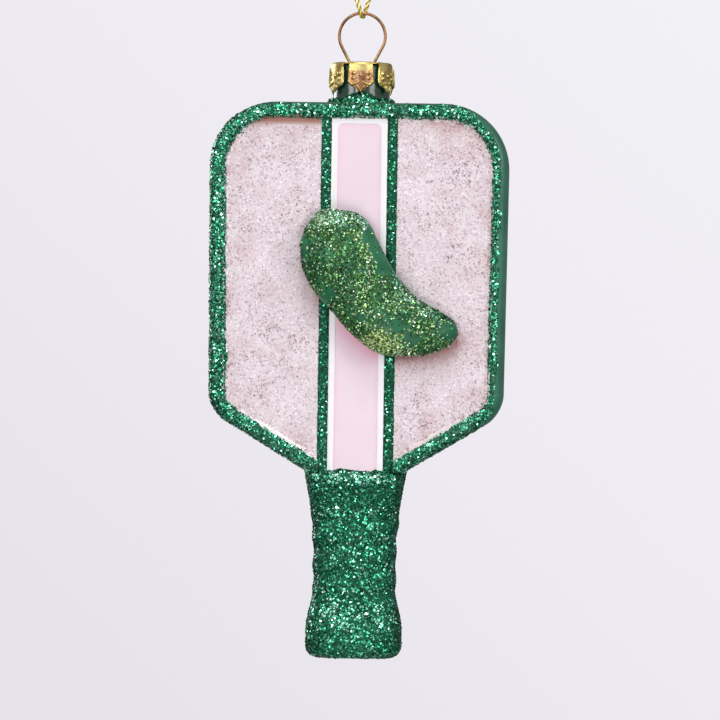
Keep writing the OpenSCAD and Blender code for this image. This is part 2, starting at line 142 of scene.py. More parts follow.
def spaced(codes: Sequence[str], low: float = 0.0, high: float = 1.0) -> list[tuple[float, str]]:
    """Space colours evenly along a ramp.

    Args:
        codes: The sRGB colours.
        low: Place of the first.
        high: Place of the last.

    Returns:
        Places and colours.
    """
    return [(low + (high - low) * i / (len(codes) - 1), code) for i, code in enumerate(codes)]


@dataclass(frozen=True)
class Finish:
    """A named surface finish, whose material is made on first use."""

    name: str

    def material(self) -> bpy.types.Material:
        """Find the finish's material, or make it.

        Returns:
            The material.
        """
        found = bpy.data.materials.get(self.name)
        if found is None:
            found = bpy.data.materials.new(self.name)
            found.use_nodes = True
            found.node_tree.nodes.clear()
            out = add_node(found.node_tree, "OutputMaterial")
            shader = self.shade(found.node_tree)
            found.node_tree.links.new(shader.outputs[0], out.inputs["Surface"])
        return found

    def shade(self, tree: Tree) -> bpy.types.Node:
        """Make the finish's shader.

        Args:
            tree: The material's node tree.

        Returns:
            The shader node.
        """
        raise NotImplementedError


def blushed(tree: Tree, colour: bpy.types.NodeSocket, code: str) -> bpy.types.NodeSocket:
    """Paint shade into a colour where a piece is marked for painted shade, as a pink tint like pale glass
    in shade.

    Args:
        tree: The material's node tree.
        colour: The plain colour.
        code: The sRGB colour of full painted shade.

    Returns:
        The tinted colour.
    """
    marked = add_node(tree, "Attribute", attribute_name="blush")
    return add_node(tree, "Mix", {
        0: marked.outputs["Fac"], 6: colour, 7: linear(code)}, data_type="RGBA").outputs[2]


@dataclass(frozen=True)
class FoilGlitter(Finish):
    """Tinted foil under clear film: flat mirror chips, each dark, coloured or a white glint by its tilt."""

    tints: tuple[str, ...]
    metal: float = 1.0
    rough: float = 0.16
    film: float = 0.25

    def shade(self, tree: Tree) -> bpy.types.Node:
        """Make a foil shader, tinted chip by chip.

        Args:
            tree: The material's node tree.

        Returns:
            The shader node.
        """
        tint = add_node(tree, "Attribute", attribute_name="tint")
        ramp = add_node(tree, "ValToRGB", {"Fac": tint.outputs["Fac"]}, spaced(self.tints))
        return add_node(tree, "BsdfPrincipled", {
            "Base Color": ramp.outputs["Color"], "Metallic": self.metal, "Roughness": self.rough,
            "Coat Weight": self.film, "Coat Roughness": 0.1})


@dataclass(frozen=True)
class CrushedGlass(Finish):
    """Grains of crushed glass: pale, half-bright chips that blur into a soft pink-white sparkle."""

    tints: tuple[str, ...]
    # Colour of the painted shade, mixed in where a piece is marked for it
    blush: str

    def shade(self, tree: Tree) -> bpy.types.Node:
        """Make a pale gloss shader, tinted grain by grain.

        Args:
            tree: The material's node tree.

        Returns:
            The shader node.
        """
        tint = add_node(tree, "Attribute", attribute_name="tint")
        ramp = add_node(tree, "ValToRGB", {"Fac": tint.outputs["Fac"]}, spaced(self.tints))
        return add_node(tree, "BsdfPrincipled", {
            "Base Color": blushed(tree, ramp.outputs["Color"], self.blush), "Roughness": 0.3})


@dataclass(frozen=True)
class GlitterBed(Finish):
    """Glue full of glitter dust over green paint: a dark speckled ground between the flakes."""

    colours: tuple[str, ...]
    # Dust is about 0.1 mm across, too fine to show, so it is drawn coarser
    grain: float = 0.28
    rough: float = 0.4

    def shade(self, tree: Tree) -> bpy.types.Node:
        """Make a speckled, slightly pitted ground.

        Args:
            tree: The material's node tree.

        Returns:
            The shader node.
        """
        place = add_node(tree, "TexCoord")
        cells = add_node(tree, "TexVoronoi", {
            "Vector": place.outputs["Object"], "Scale": 1 / (self.grain * MM)})
        split = add_node(tree, "SeparateColor", {"Color": cells.outputs["Color"]})
        ramp = add_node(tree, "ValToRGB", {"Fac": split.outputs["Red"]}, spaced(self.colours))
        bump = add_node(tree, "Bump", {
            "Height": split.outputs["Green"], "Strength": 0.6, "Distance": 0.1 * MM})
        return add_node(tree, "BsdfPrincipled", {
            "Base Color": ramp.outputs["Color"], "Metallic": 0.3, "Roughness": self.rough,
            "Specular IOR Level": 0.2, "Normal": bump.outputs["Normal"],
        })


@dataclass(frozen=True)
class LacqueredGlass(Finish):
    """Blown glass under green lacquer, with white paint in the panels and painted pink shade on it under
    the rim's top edge.
    """

    green: tuple[str, str]
    white: str
    # Colour of the shade painted under the rim's top edge, and the height where it is strongest
    blush: str
    blush_z: float
    rough: float = 0.45
    coat: float = 0.3
    # In millimetres: the lacquer's clouds, the white paint's ragged edge and the height of the painted
    # shade under the top edge
    cloud: float = 6.0
    fringe: float = 0.5
    blush_h: float = 1.8

    def shade(self, tree: Tree) -> bpy.types.Node:
        """Make wet gloss paint, green outside the panels and white inside them.

        Args:
            tree: The material's node tree.

        Returns:
            The shader node.
        """
        place = add_node(tree, "TexCoord")
        parts = add_node(tree, "SeparateXYZ", {"Vector": place.outputs["Object"]})
        cloud = add_node(tree, "TexNoise", {
            "Vector": place.outputs["Object"], "Scale": 1 / (self.cloud * MM), "Detail": 4.0})
        green = add_node(tree, "ValToRGB", {"Fac": cloud.outputs["Fac"]},
                         spaced(self.green, *CLOUDED))
        under = add_node(tree, "MapRange", {
            "Value": parts.outputs["Z"], "From Min": (self.blush_z - self.blush_h) * MM,
            "From Max": self.blush_z * MM})
        # The painted shade is strong in the left panel and faint in the right one
        strong = add_node(tree, "MapRange", {
            "Value": parts.outputs["X"], "From Min": -3 * MM, "From Max": 3 * MM,
            "To Min": under.outputs["Result"], "To Max": 0.25})
        white = add_node(tree, "Mix", {
            0: strong.outputs["Result"], 6: linear(self.white), 7: linear(self.blush)}, data_type="RGBA")
        inside = add_node(tree, "Attribute", attribute_name="panel")
        ragged = add_node(tree, "TexNoise", {
            "Vector": place.outputs["Object"], "Scale": 1 / (self.fringe * MM), "Detail": 2.0})
        edge = add_node(tree, "Math", {
            0: ragged.outputs["Fac"], 1: 0.5, 2: inside.outputs["Fac"]}, operation="MULTIPLY_ADD")
        mask = add_node(tree, "Math", {0: edge.outputs[0], 1: 0.75}, operation="GREATER_THAN")
        paint = add_node(tree, "Mix", {
            0: mask.outputs[0], 6: green.outputs["Color"], 7: white.outputs[2]}, data_type="RGBA")
        wave = add_node(tree, "Bump", {
            "Height": cloud.outputs["Fac"], "Strength": 0.2, "Distance": 0.2 * MM})
        return add_node(tree, "BsdfPrincipled", {
            "Base Color": paint.outputs[2], "Roughness": self.rough, "Specular IOR Level": 0.35,
            "Coat Weight": self.coat, "Coat Roughness": 0.15, "Normal": wave.outputs["Normal"],
        })


@dataclass(frozen=True)
class SugarFrost(Finish):
    """Crushed glass on pale pink paint: a matt, grainy sheet with slow cloudy patches."""

    colours: tuple[str, ...]
    # Colour of the painted shade, mixed in where a piece is marked for it
    blush: str
    grain: float = 0.4
    cloud: float = 6.0

    def shade(self, tree: Tree) -> bpy.types.Node:
        """Make a grainy matt ground.

        Args:
            tree: The material's node tree.

        Returns:
            The shader node.
        """
        place = add_node(tree, "TexCoord")
        cells = add_node(tree, "TexVoronoi", {
            "Vector": place.outputs["Object"], "Scale": 1 / (self.grain * MM)})
        split = add_node(tree, "SeparateColor", {"Color": cells.outputs["Color"]})
        cloud = add_node(tree, "TexNoise", {
            "Vector": place.outputs["Object"], "Scale": 1 / (self.cloud * MM), "Detail": 3.0})
        blend = add_node(tree, "Math", {
            0: split.outputs["Red"], 1: 0.55, 2: cloud.outputs["Fac"]}, operation="MULTIPLY_ADD")
        spread = add_node(tree, "Math", {0: blend.outputs[0], 1: 0.65}, operation="MULTIPLY")
        ramp = add_node(tree, "ValToRGB", {"Fac": spread.outputs[0]}, spaced(self.colours))
        bump = add_node(tree, "Bump", {
            "Height": split.outputs["Green"], "Strength": 0.5, "Distance": 0.12 * MM})
        return add_node(tree, "BsdfPrincipled", {
            "Base Color": blushed(tree, ramp.outputs["Color"], self.blush), "Roughness": 0.6,
            "Normal": bump.outputs["Normal"]})


@dataclass(frozen=True)
class Enamel(Finish):
    """Brushed-on enamel: smooth gloss paint with a faint pooled unevenness."""

    colours: tuple[str, str]
    rough: float = 0.3
    # Colour of the painted shade, mixed in where a piece is marked for it
    blush: str = "#ffffff"
    pool: float = 7.0

    def shade(self, tree: Tree) -> bpy.types.Node:
        """Make gloss paint that pools a little.

        Args:
            tree: The material's node tree.

        Returns:
            The shader node.
        """
        place = add_node(tree, "TexCoord")
        pool = add_node(tree, "TexNoise", {
            "Vector": place.outputs["Object"], "Scale": 1 / (self.pool * MM), "Detail": 2.0})
        ramp = add_node(tree, "ValToRGB", {"Fac": pool.outputs["Fac"]},
                        spaced(self.colours, *CLOUDED))
        wave = add_node(tree, "Bump", {
            "Height": pool.outputs["Fac"], "Strength": 0.2, "Distance": 0.1 * MM})
        return add_node(tree, "BsdfPrincipled", {
            "Base Color": blushed(tree, ramp.outputs["Color"], self.blush), "Roughness": self.rough,
            "Coat Weight": 0.2, "Coat Roughness": 0.1, "Normal": wave.outputs["Normal"],
        })


@dataclass(frozen=True)
class PaintedResin(Finish):
    """Green paint on the pickle: satin, clouded from leaf green to deep green."""

    colours: tuple[str, ...]
    cloud: float = 4.5
    grit: float = 0.5

    def shade(self, tree: Tree) -> bpy.types.Node:
        """Make satin paint with clouded greens.

        Args:
            tree: The material's node tree.

        Returns:
            The shader node.
        """
        place = add_node(tree, "TexCoord")
        cloud = add_node(tree, "TexNoise", {
            "Vector": place.outputs["Object"], "Scale": 1 / (self.cloud * MM), "Detail": 4.0})
        ramp = add_node(tree, "ValToRGB", {"Fac": cloud.outputs["Fac"]},
                        spaced(self.colours, 0.28, 0.72))
        grit = add_node(tree, "TexNoise", {
            "Vector": place.outputs["Object"], "Scale": 1 / (self.grit * MM), "Detail": 2.0})
        bump = add_node(tree, "Bump", {
            "Height": grit.outputs["Fac"], "Strength": 0.2, "Distance": 0.1 * MM})
        return add_node(tree, "BsdfPrincipled", {
            "Base Color": ramp.outputs["Color"], "Roughness": 0.42, "Specular IOR Level": 0.35,
            "Coat Weight": 0.08, "Coat Roughness": 0.2, "Normal": bump.outputs["Normal"],
        })


@dataclass(frozen=True)
class Brass(Finish):
    """Rolled brass: a warm mirror, clouded by wear and tinted copper where a piece is marked for it."""

    colours: tuple[str, str, str]
    patina: tuple[str, str]
    rough: tuple[float, float] = (0.22, 0.42)
    patch: float = 2.0
    scratch: float = 0.4

    def shade(self, tree: Tree) -> bpy.types.Node:
        """Make a clouded warm metal.

        Args:
            tree: The material's node tree.

        Returns:
            The shader node.
        """
        place = add_node(tree, "TexCoord")
        cloud = add_node(tree, "TexNoise", {
            "Vector": place.outputs["Object"], "Scale": 1 / (self.patch * MM), "Detail": 5.0})
        gold = add_node(tree, "ValToRGB", {"Fac": cloud.outputs["Fac"]},
                        spaced(self.colours, *CLOUDED))
        copper = add_node(tree, "ValToRGB", {"Fac": cloud.outputs["Fac"]},
                          spaced(self.patina, *CLOUDED))
        marked = add_node(tree, "Attribute", attribute_name="patina")
        metal = add_node(tree, "Mix", {
            0: marked.outputs["Fac"], 6: gold.outputs["Color"], 7: copper.outputs["Color"]},
            data_type="RGBA")
        worn = add_node(tree, "MapRange", {
            "Value": cloud.outputs["Fac"], "From Min": CLOUDED[0], "From Max": CLOUDED[1],
            "To Min": self.rough[0], "To Max": self.rough[1]})
        scratches = add_node(tree, "TexNoise", {
            "Vector": place.outputs["Object"], "Scale": 1 / (self.scratch * MM), "Detail": 2.0})
        bump = add_node(tree, "Bump", {
            "Height": scratches.outputs["Fac"], "Strength": 0.2, "Distance": 0.05 * MM})
        return add_node(tree, "BsdfPrincipled", {
            "Base Color": metal.outputs[2], "Metallic": 1.0, "Roughness": worn.outputs["Result"],
            "Normal": bump.outputs["Normal"],
        })


@dataclass(frozen=True)
class MetallicTwist(Finish):
    """Metallic gold cord: bright foil thread, with painted highlights on the crests of the twist and
    painted olive shade in its grooves.
    """

    colours: tuple[str, str, str]
    # Foil thread is finer still, and is drawn as coarse as it needs to show
    thread: float = 0.12

    def shade(self, tree: Tree) -> bpy.types.Node:
        """Make foil thread, with highlights and shade painted by the crest attribute.

        Args:
            tree: The material's node tree.

        Returns:
            The shader node.
        """
        crest = add_node(tree, "Attribute", attribute_name="crest")
        ramp = add_node(tree, "ValToRGB", {"Fac": crest.outputs["Fac"]},
                        spaced(self.colours, 0.1, 0.9))
        place = add_node(tree, "TexCoord")
        thread = add_node(tree, "TexNoise", {
            "Vector": place.outputs["Object"], "Scale": 1 / (self.thread * MM), "Detail": 2.0})
        bump = add_node(tree, "Bump", {
            "Height": thread.outputs["Fac"], "Strength": 0.4, "Distance": 0.05 * MM})
        return add_node(tree, "BsdfPrincipled", {
            "Base Color": ramp.outputs["Color"], "Metallic": 0.3, "Roughness": 0.35,
            "Normal": bump.outputs["Normal"],
        })


EMERALD_FLAKES = FoilGlitter("emerald_foil_glitter", (
    "#073f2a", "#0b5c3e", "#127a54", "#1c9468", "#3cbe90", "#c0f6e2"),
    metal=0.85, rough=0.17, film=0.35)
# The grip's glitter is a darker copy of the rim's, as its bright flakes are laid apart as painted glints
DEEP_EMERALD_FLAKES = FoilGlitter("deep_emerald_glitter", (
    "#063a27", "#0a573a", "#11734e", "#198a60", "#2cab80", "#92e6c8"),
    metal=0.85, rough=0.17, film=0.35)
# Pale flakes laid where the grip catches the light are painted glints
EMERALD_GLINTS = FoilGlitter(
    "pale_emerald_glitter", ("#5fd0a8", "#a6efd4", "#e4fff5"), metal=0.5, rough=0.2)
EMERALD_BED = GlitterBed("emerald_glitter_bed", ("#083a29", "#0d4f38", "#156246"))
# The green lacquer's third colour is painted shade under the rim's top edge
GREEN_LACQUER = LacqueredGlass(
    "green_lacquered_glass", ("#225b46", "#306f57"), white="#fbf8f9", blush="#a9786b", blush_z=-44.2)
# The neck's lacquer is drawn far darker than the head's: partly its own deeper green, partly painted shade
# under the cap
NECK_LACQUER = LacqueredGlass(
    "gloss_neck_lacquer", ("#08241a", "#0f3a2a"), white="#08241a", blush="#08241a", blush_z=0.0,
    rough=0.2, coat=0.8)
# Both frost finishes end with the colour of their painted shade: along the rim, under its top edge and
# round the pickle
FROST_GROUND = SugarFrost("sugar_frost_ground", ("#cdb9bf", "#dccdd3", "#eadee3", "#f2e8ed"), "#ac716c")
FROST_GRAINS = CrushedGlass("crushed_glass_grains", (
    "#866b71", "#bca6ac", "#dacbd1", "#eadfe4", "#f6eff3", "#fffcfd"), "#ac716c")
DUST_SPECKS = CrushedGlass("brown_dust_specks", ("#4a3432", "#7a5d5c", "#9a8083"), "#ffffff")
# The pink enamel's last colour is painted shade, round the pickle and along the border
PINK_ENAMEL = Enamel("pink_gloss_enamel", ("#e9d6df", "#edd9e3"), blush="#f59ebb")
WHITE_ENAMEL = Enamel("white_gloss_enamel", ("#efecee", "#f3f0f2"), rough=0.45)
PICKLE_PAINT = PaintedResin("pickle_paint", ("#155739", "#1e6845", "#2f7d55"))
LIME_FLAKES = FoilGlitter("lime_green_glitter", (
    "#1d4c2b", "#275d35", "#346e3e", "#486136", "#4a8642", "#7cae58", "#dcf2cc"),
    metal=0.8, rough=0.2)
# Near-white flakes strewn over the pickle's glitter are painted glints
WHITE_LIME_FLAKES = FoilGlitter(
    "white_lime_glitter", ("#96cf82", "#bfe6a6", "#e0f6d0", "#f7fff2"), metal=0.3, rough=0.2)
BRIGHT_LIME_FLAKES = FoilGlitter(
    "bright_lime_glitter", ("#7fa84e", "#aecd68", "#d6ea92", "#f4fad6"), metal=0.4, rough=0.25)
# Mint flakes are partly mint glitter and partly painted highlights from above
MINT_FLAKES = FoilGlitter(
    "mint_foil_glitter", ("#4aa572", "#86d3a6", "#bdf0d0", "#f0fdf5"), metal=0.6, rough=0.2)
CAP_BRASS = Brass("stamped_cap_brass", ("#b0974c", "#d2bb70", "#ecdd9c"), ("#946248", "#c09374"))
WIRE_BRASS = Brass(
    "copper_brass_wire", ("#8d7a3c", "#b8a35a", "#e0d08c"), ("#7d563a", "#b98a63"),
    rough=(0.25, 0.4), patch=3.0)
GOLD_CORD = MetallicTwist("metallic_gold_cord", ("#a08c2c", "#ead768", "#fffbd0"))
PALE_FLOOR = Enamel("pale_floor_paint", ("#e6e2e8", "#eae6ec"), rough=0.6)
CLEAR_GLUE = Enamel("clear_glue", ("#d9d6cd", "#e6e3da"), rough=0.2)


# Modelling


def deselect() -> None:
    """Select nothing, so that an operator acts only on what is picked next."""
    for item in bpy.context.selected_objects:
        item.select_set(False)


def activate(piece: Piece) -> None:
    """Make one piece the only selected and the active object.

    Args:
        piece: The piece.
    """
    deselect()
    piece.select_set(True)
    bpy.context.view_layer.objects.active = piece


@contextmanager
def editing(piece: Piece) -> Iterator[None]:
    """Hold a piece in edit mode, with nothing selected at the start.

    Args:
        piece: The piece to edit.

    Yields:
        Nothing, while the piece is in edit mode.
    """
    activate(piece)
    bpy.ops.object.mode_set(mode="EDIT")
    bpy.ops.mesh.select_all(action="DESELECT")
    yield
    bpy.ops.object.mode_set(mode="OBJECT")


def pick(piece: Piece, kind: Kind, test: Callable[[Vector, Vector], bool]) -> None:
    """Select what passes a test of its place and normal, in edit mode.

    Args:
        piece: The piece in edit mode.
        kind: What to select.
        test: Takes a place in millimetres and a normal.
    """
    bpy.ops.mesh.select_mode(type=kind.value)
    bpy.ops.mesh.select_all(action="DESELECT")
    shape = bmesh.from_edit_mesh(piece.data)
    shape.normal_update()
    for item in shape.verts if kind is Kind.VERT else shape.faces:
        place = item.co if kind is Kind.VERT else item.calc_center_median()
        if test(place / MM, item.normal):
            item.select_set(True)
    shape.select_flush_mode()
    bmesh.update_edit_mesh(piece.data)


def mend(piece: Piece) -> None:
    """Merge a piece's doubled points and turn its faces outwards.

    Args:
        piece: The piece.
    """
    with editing(piece):
        bpy.ops.mesh.select_all(action="SELECT")
        bpy.ops.mesh.remove_doubles(threshold=WELD * MM)
        bpy.ops.mesh.normals_make_consistent(inside=False)


def cut(piece: Piece, place: tuple[float, float, float], normal: tuple[float, float, float],
        clear: bool = False, fill: bool = False) -> None:
    """Cut through a whole piece with a plane, in edit mode.

    Args:
        piece: The piece in edit mode.
        place: A point of the plane in millimetres.
        normal: The plane's normal.
        clear: Whether the side behind the plane goes.
        fill: Whether the cut is closed.
    """
    bpy.ops.mesh.select_all(action="SELECT")
    bpy.ops.mesh.bisect(plane_co=Vector(place) * MM, plane_no=normal, clear_inner=clear, use_fill=fill,
                        threshold=HAIR * MM)


def loft(name: str, rings: Sequence[np.ndarray], ends: bool = True) -> Piece:
    """Draw a ring and extrude it from section to section.

    Args:
        name: The piece's name.
        rings: Sections of equal length, each an array of points in millimetres.
        ends: Whether the two ends are filled.

    Returns:
        The piece.
    """
    sides = len(rings[0])
    deselect()
    bpy.ops.mesh.primitive_circle_add(vertices=sides, radius=MM)
    piece = bpy.context.object
    piece.name = name
    with editing(piece):
        shape = bmesh.from_edit_mesh(piece.data)
        for vert, place in zip(shape.verts, rings[0]):
            vert.co = Vector(place) * MM
        bmesh.update_edit_mesh(piece.data)
        bpy.ops.mesh.select_all(action="SELECT")
        if ends:
            bpy.ops.mesh.edge_face_add()
        for ring in rings[1:]:
            bpy.ops.mesh.select_mode(type="EDGE")
            bpy.ops.mesh.extrude_edges_move()
            shape = bmesh.from_edit_mesh(piece.data)
            shape.verts.ensure_lookup_table()
            for vert, place in zip(shape.verts[-sides:], ring):
                vert.co = Vector(place) * MM
            bmesh.update_edit_mesh(piece.data)
        if ends:
            bpy.ops.mesh.edge_face_add()
    mend(piece)
    return piece


def turned(name: str, profile: Sequence[tuple[float, float]], sides: int,
           ends: bool = True) -> Piece:
    """Loft a round piece about the upright axis.

    Args:
        name: The piece's name.
        profile: Radii and heights in millimetres.
        sides: Number of points round it.
        ends: Whether the two ends are filled.

    Returns:
        The piece.
    """
    angles = np.linspace(0, 2 * math.pi, sides, endpoint=False)
    rings = [np.stack([r * np.cos(angles), r * np.sin(angles), np.full(sides, z)], axis=1)
             for r, z in profile]
    return loft(name, rings, ends)


def copy_of(piece: Piece, name: str) -> Piece:
    """Duplicate a piece with its own mesh.

    Args:
        piece: The piece to copy.
        name: The copy's name.

    Returns:
        The copy.
    """
    activate(piece)
    bpy.ops.object.duplicate()
    twin = bpy.context.object
    twin.name = name
    return twin


def flipped(piece: Piece, name: str, way: Flip) -> Piece:
    """Copy a piece to the other side of the paddle.

    Args:
        piece: The piece to copy.
        name: The copy's name.
        way: Which way it is flipped.

    Returns:
        The copy, with its faces turned outwards.
    """
    twin = copy_of(piece, name)
    scale = [1.0, 1.0, 1.0]
    scale[way.value] = -1.0
    with editing(twin):
        bpy.ops.mesh.select_all(action="SELECT")
        bpy.ops.transform.resize(value=scale, center_override=(0, 0, 0))
        bpy.ops.mesh.flip_normals()
    return twin


def modify(piece: Piece, kind: str, **settings: object) -> None:
    """Add one modifier to a piece and apply it.

    Args:
        piece: The piece.
        kind: The modifier's type name.
        settings: The modifier's properties.
    """
    activate(piece)
    bpy.ops.object.modifier_add(type=kind)
    modifier = piece.modifiers[-1]
    for key, value in settings.items():
        setattr(modifier, key, value)
    bpy.ops.object.modifier_apply(modifier=modifier.name)


def joined(name: str, *pieces: Piece) -> Piece:
    """Join pieces into one.

    Args:
        name: The name of the whole.
        pieces: What is joined.

    Returns:
        The whole.
    """
    activate(pieces[0])
    for piece in pieces[1:]:
        piece.select_set(True)
    bpy.ops.object.join()
    pieces[0].name = name
    return pieces[0]


def smooth(piece: Piece, angle: float = 40.0) -> None:
    """Shade a piece smooth up to an angle in degrees."""
    activate(piece)
    bpy.ops.object.shade_smooth_by_angle(angle=math.radians(angle))


def mark(piece: Piece, name: str, values: Sequence[float]) -> None:
    """Note one value at each point of a piece.

    Args:
        piece: The piece.
        name: The attribute's name.
        values: One value for each point.
    """
    noted = piece.data.attributes.get(name) or piece.data.attributes.new(name, "FLOAT", "POINT")
    noted.data.foreach_set("value", np.asarray(values, np.float32))


def points_of(piece: Piece) -> np.ndarray:
    """Return the places of a piece's points in millimetres."""
    return np.array([v.co for v in piece.data.vertices]) / MM


def dress(piece: Piece, finish: Finish) -> None:
    """Give a whole piece one finish."""
    piece.data.materials.clear()
    piece.data.materials.append(finish.material())


def settle(piece: Piece, body: Body, slot: str, *nodes: str) -> None:
    """Let a piece ride a body and stand for its CAD nodes.

    Args:
        piece: The finished piece.
        body: The body that carries it.
        slot: The record's material slot; not used.
        nodes: The CAD nodes that it stands for.
    """
    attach(piece, body.value)
    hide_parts(*nodes)
    log.info("%s: %d faces, rides %s", piece.name, len(piece.data.polygons), body.value)


def ease(t: float) -> float:
    """Ease from 0 to 1."""
    u = min(max(t, 0.0), 1.0)
    return u * u * (3 - 2 * u)


# Flakes


@dataclass(frozen=True)
class FlakeSpread:
    """How loose flakes lie on a coat.

    Across and lift are in millimetres and tilt in degrees. Vary is how far the size strays, and drift is
    the share of a flake's tint that follows slow clouds and not chance.
    """

    number: int
    across: float
    tilt: float
    seed: int
    lift: float = 0.05
    vary: float = 0.25
    drift: float = 0.0
    steepest: float = 75.0
    clearance: float = 0.02

    def chip(self) -> np.ndarray:
        """Model one flake, a six-sided chip one unit long and a little narrower.

        Returns:
            Its points.
        """
        deselect()
        bpy.ops.mesh.primitive_circle_add(vertices=6, radius=0.5, fill_type="NGON")
        piece = bpy.context.object
        with editing(piece):
            bpy.ops.mesh.select_all(action="SELECT")
            bpy.ops.transform.resize(value=(1.0, 0.86, 1.0), center_override=(0, 0, 0))
        points = np.array([v.co for v in piece.data.vertices])
        bpy.data.meshes.remove(piece.data)
        return points

    def scatter(self, ground: Piece, name: str, cover: Cover) -> Piece:
        """Lay flakes over a ground surface.

        Args:
            ground: The coat that they stick to.
            name: The name of the flakes.
            cover: Takes places in millimetres and normals, and gives each place's chance of a flake.

        Returns:
            One mesh of loose flakes with a tint attribute.
        """
        rng = np.random.default_rng(self.seed)
        mesh = ground.data
        mesh.calc_loop_triangles()
        count = len(mesh.loop_triangles)
        corners = np.zeros(count * 3, np.int32)
        loops = np.zeros(count * 3, np.int32)
        mesh.loop_triangles.foreach_get("vertices", corners)
        mesh.loop_triangles.foreach_get("loops", loops)
        places = np.zeros(len(mesh.vertices) * 3)
        mesh.vertices.foreach_get("co", places)
        normals = np.zeros(len(mesh.loops) * 3, np.float32)
        mesh.corner_normals.foreach_get("vector", normals)
        # Extruded faces come in a new order in each run, so the triangles are sorted by their points
        order = np.lexsort(corners.reshape(-1, 3).T)
        tri = places.reshape(-1, 3)[corners.reshape(-1, 3)[order]] / MM
        lean = normals.reshape(-1, 3)[loops.reshape(-1, 3)[order]]
        area = np.linalg.norm(np.cross(tri[:, 1] - tri[:, 0], tri[:, 2] - tri[:, 0]), axis=1)
        spots = np.zeros((0, 3))
        facing = np.zeros((0, 3))
        while len(spots) < self.number:
            chosen = rng.choice(count, self.number * 2, p=area / area.sum())
            a, b = rng.random((2, self.number * 2))
            fold = a + b > 1
            a[fold], b[fold] = 1 - a[fold], 1 - b[fold]
            mix = np.stack([1 - a - b, a, b], axis=1)[:, :, None]
            spot = (tri[chosen] * mix).sum(1)
            normal = (lean[chosen] * mix).sum(1)
            normal /= np.linalg.norm(normal, axis=1)[:, None]
            keep = rng.random(len(spot)) < cover(spot, normal)
            spots = np.concatenate([spots, spot[keep]])[:self.number]
            facing = np.concatenate([facing, normal[keep]])[:self.number]
        return self.lay(name, spots, facing, rng)

    def lay(self, name: str, spots: np.ndarray, facing: np.ndarray,
            rng: np.random.Generator) -> Piece:
        """Set one chip at each spot, tilted and turned at random.

        Args:
            name: The name of the flakes.
            spots: Their places in millimetres.
            facing: The ground's normals there.
            rng: The source of chance.

        Returns:
            One mesh of loose flakes.
        """
        count = len(spots)
        turn = np.clip(rng.normal(0, self.tilt, (count, 3)), -self.steepest, self.steepest)
        # Two of the three directions tilt a chip, so each counts for about the root of a half
        axis = facing + np.tan(np.radians(turn)) * 0.7
        axis /= np.linalg.norm(axis, axis=1)[:, None]
        side = np.cross(axis, rng.normal(size=(count, 3)))
        side /= np.linalg.norm(side, axis=1)[:, None]
        other = np.cross(axis, side)
        chip = self.chip()
        size = self.across * (1 + self.vary * np.clip(rng.normal(size=count), -1.5, 1.5))
        rise = self.lift * rng.random(count) + self.clearance
        centre = spots + facing * rise[:, None]
        points = centre[:, None, :] + size[:, None, None] * (
            chip[None, :, 0, None] * side[:, None, :] + chip[None, :, 1, None] * other[:, None, :])
        per = len(chip)
        mesh = bpy.data.meshes.new(name)
        mesh.vertices.add(count * per)
        mesh.vertices.foreach_set("co", (points * MM).ravel())
        mesh.loops.add(count * per)
        mesh.loops.foreach_set("vertex_index", np.arange(count * per))
        mesh.polygons.add(count)
        mesh.polygons.foreach_set("loop_start", np.arange(count) * per)
        mesh.update(calc_edges=True)
        tint = mesh.attributes.new("tint", "FLOAT", "FACE")
        value = rng.random(count)
        if self.drift:
            patch = 0.5 + 0.6 * clouds(spots, 0.6, 7.0) + 0.9 * clouds(spots, 5.0, 2.0)
            value = np.clip((1 - self.drift) * value + self.drift * patch, 0, 1)
        tint.data.foreach_set("value", value.astype(np.float32))
        flakes = bpy.data.objects.new(name, mesh)
        bpy.context.collection.objects.link(flakes)
        return flakes


def everywhere(spots: np.ndarray, facing: np.ndarray) -> np.ndarray:
    """Cover the whole ground evenly."""
    return np.ones(len(spots))


def clouds(spots: np.ndarray, scale: float, seed: float) -> np.ndarray:
    """Give smooth noise from -1 to 1 at each place.

    Args:
        spots: Places in millimetres.
        scale: Size of a cloud in millimetres.
        seed: Shift of the noise.

    Returns:
        The noise.
    """
    return np.array([noise.noise(Vector(s) / scale + Vector((seed, seed, seed))) for s in spots])


def glittered(name: str, ground: Piece, bed: Finish, flake: Finish, spread: FlakeSpread,
              cover: Cover = everywhere, over: Piece | None = None) -> Piece:
    """Strew flakes on a coat and join them to it.

    Args:
        name: The name of the whole.
        ground: The coat.
        bed: The coat's own finish.
        flake: The flakes' finish.
        spread: How the flakes lie.
        cover: Where they lie.
        over: A wider surface for the flakes, that goes once they lie.

    Returns:
        The coat with its flakes.
    """
    dress(ground, bed)
    flakes = spread.scatter(over or ground, name + "_flakes", cover)
    dress(flakes, flake)
    if over:
        bpy.data.meshes.remove(over.data)
    return joined(name, ground, flakes)


def squared(piece: Piece, step: float) -> None:
    """Cut a flat sheet into squares, so that it can take soft marks.

    Args:
        piece: The sheet.
        step: Size of a square in millimetres.
    """
    places = points_of(piece)
    with editing(piece):
        for axis in (0, 2):
            normal = (1, 0, 0) if axis == 0 else (0, 0, 1)
            for at in np.arange(places[:, axis].min() + step, places[:, axis].max(), step):
                cut(piece, tuple(at * n for n in normal), normal)


# The paddle


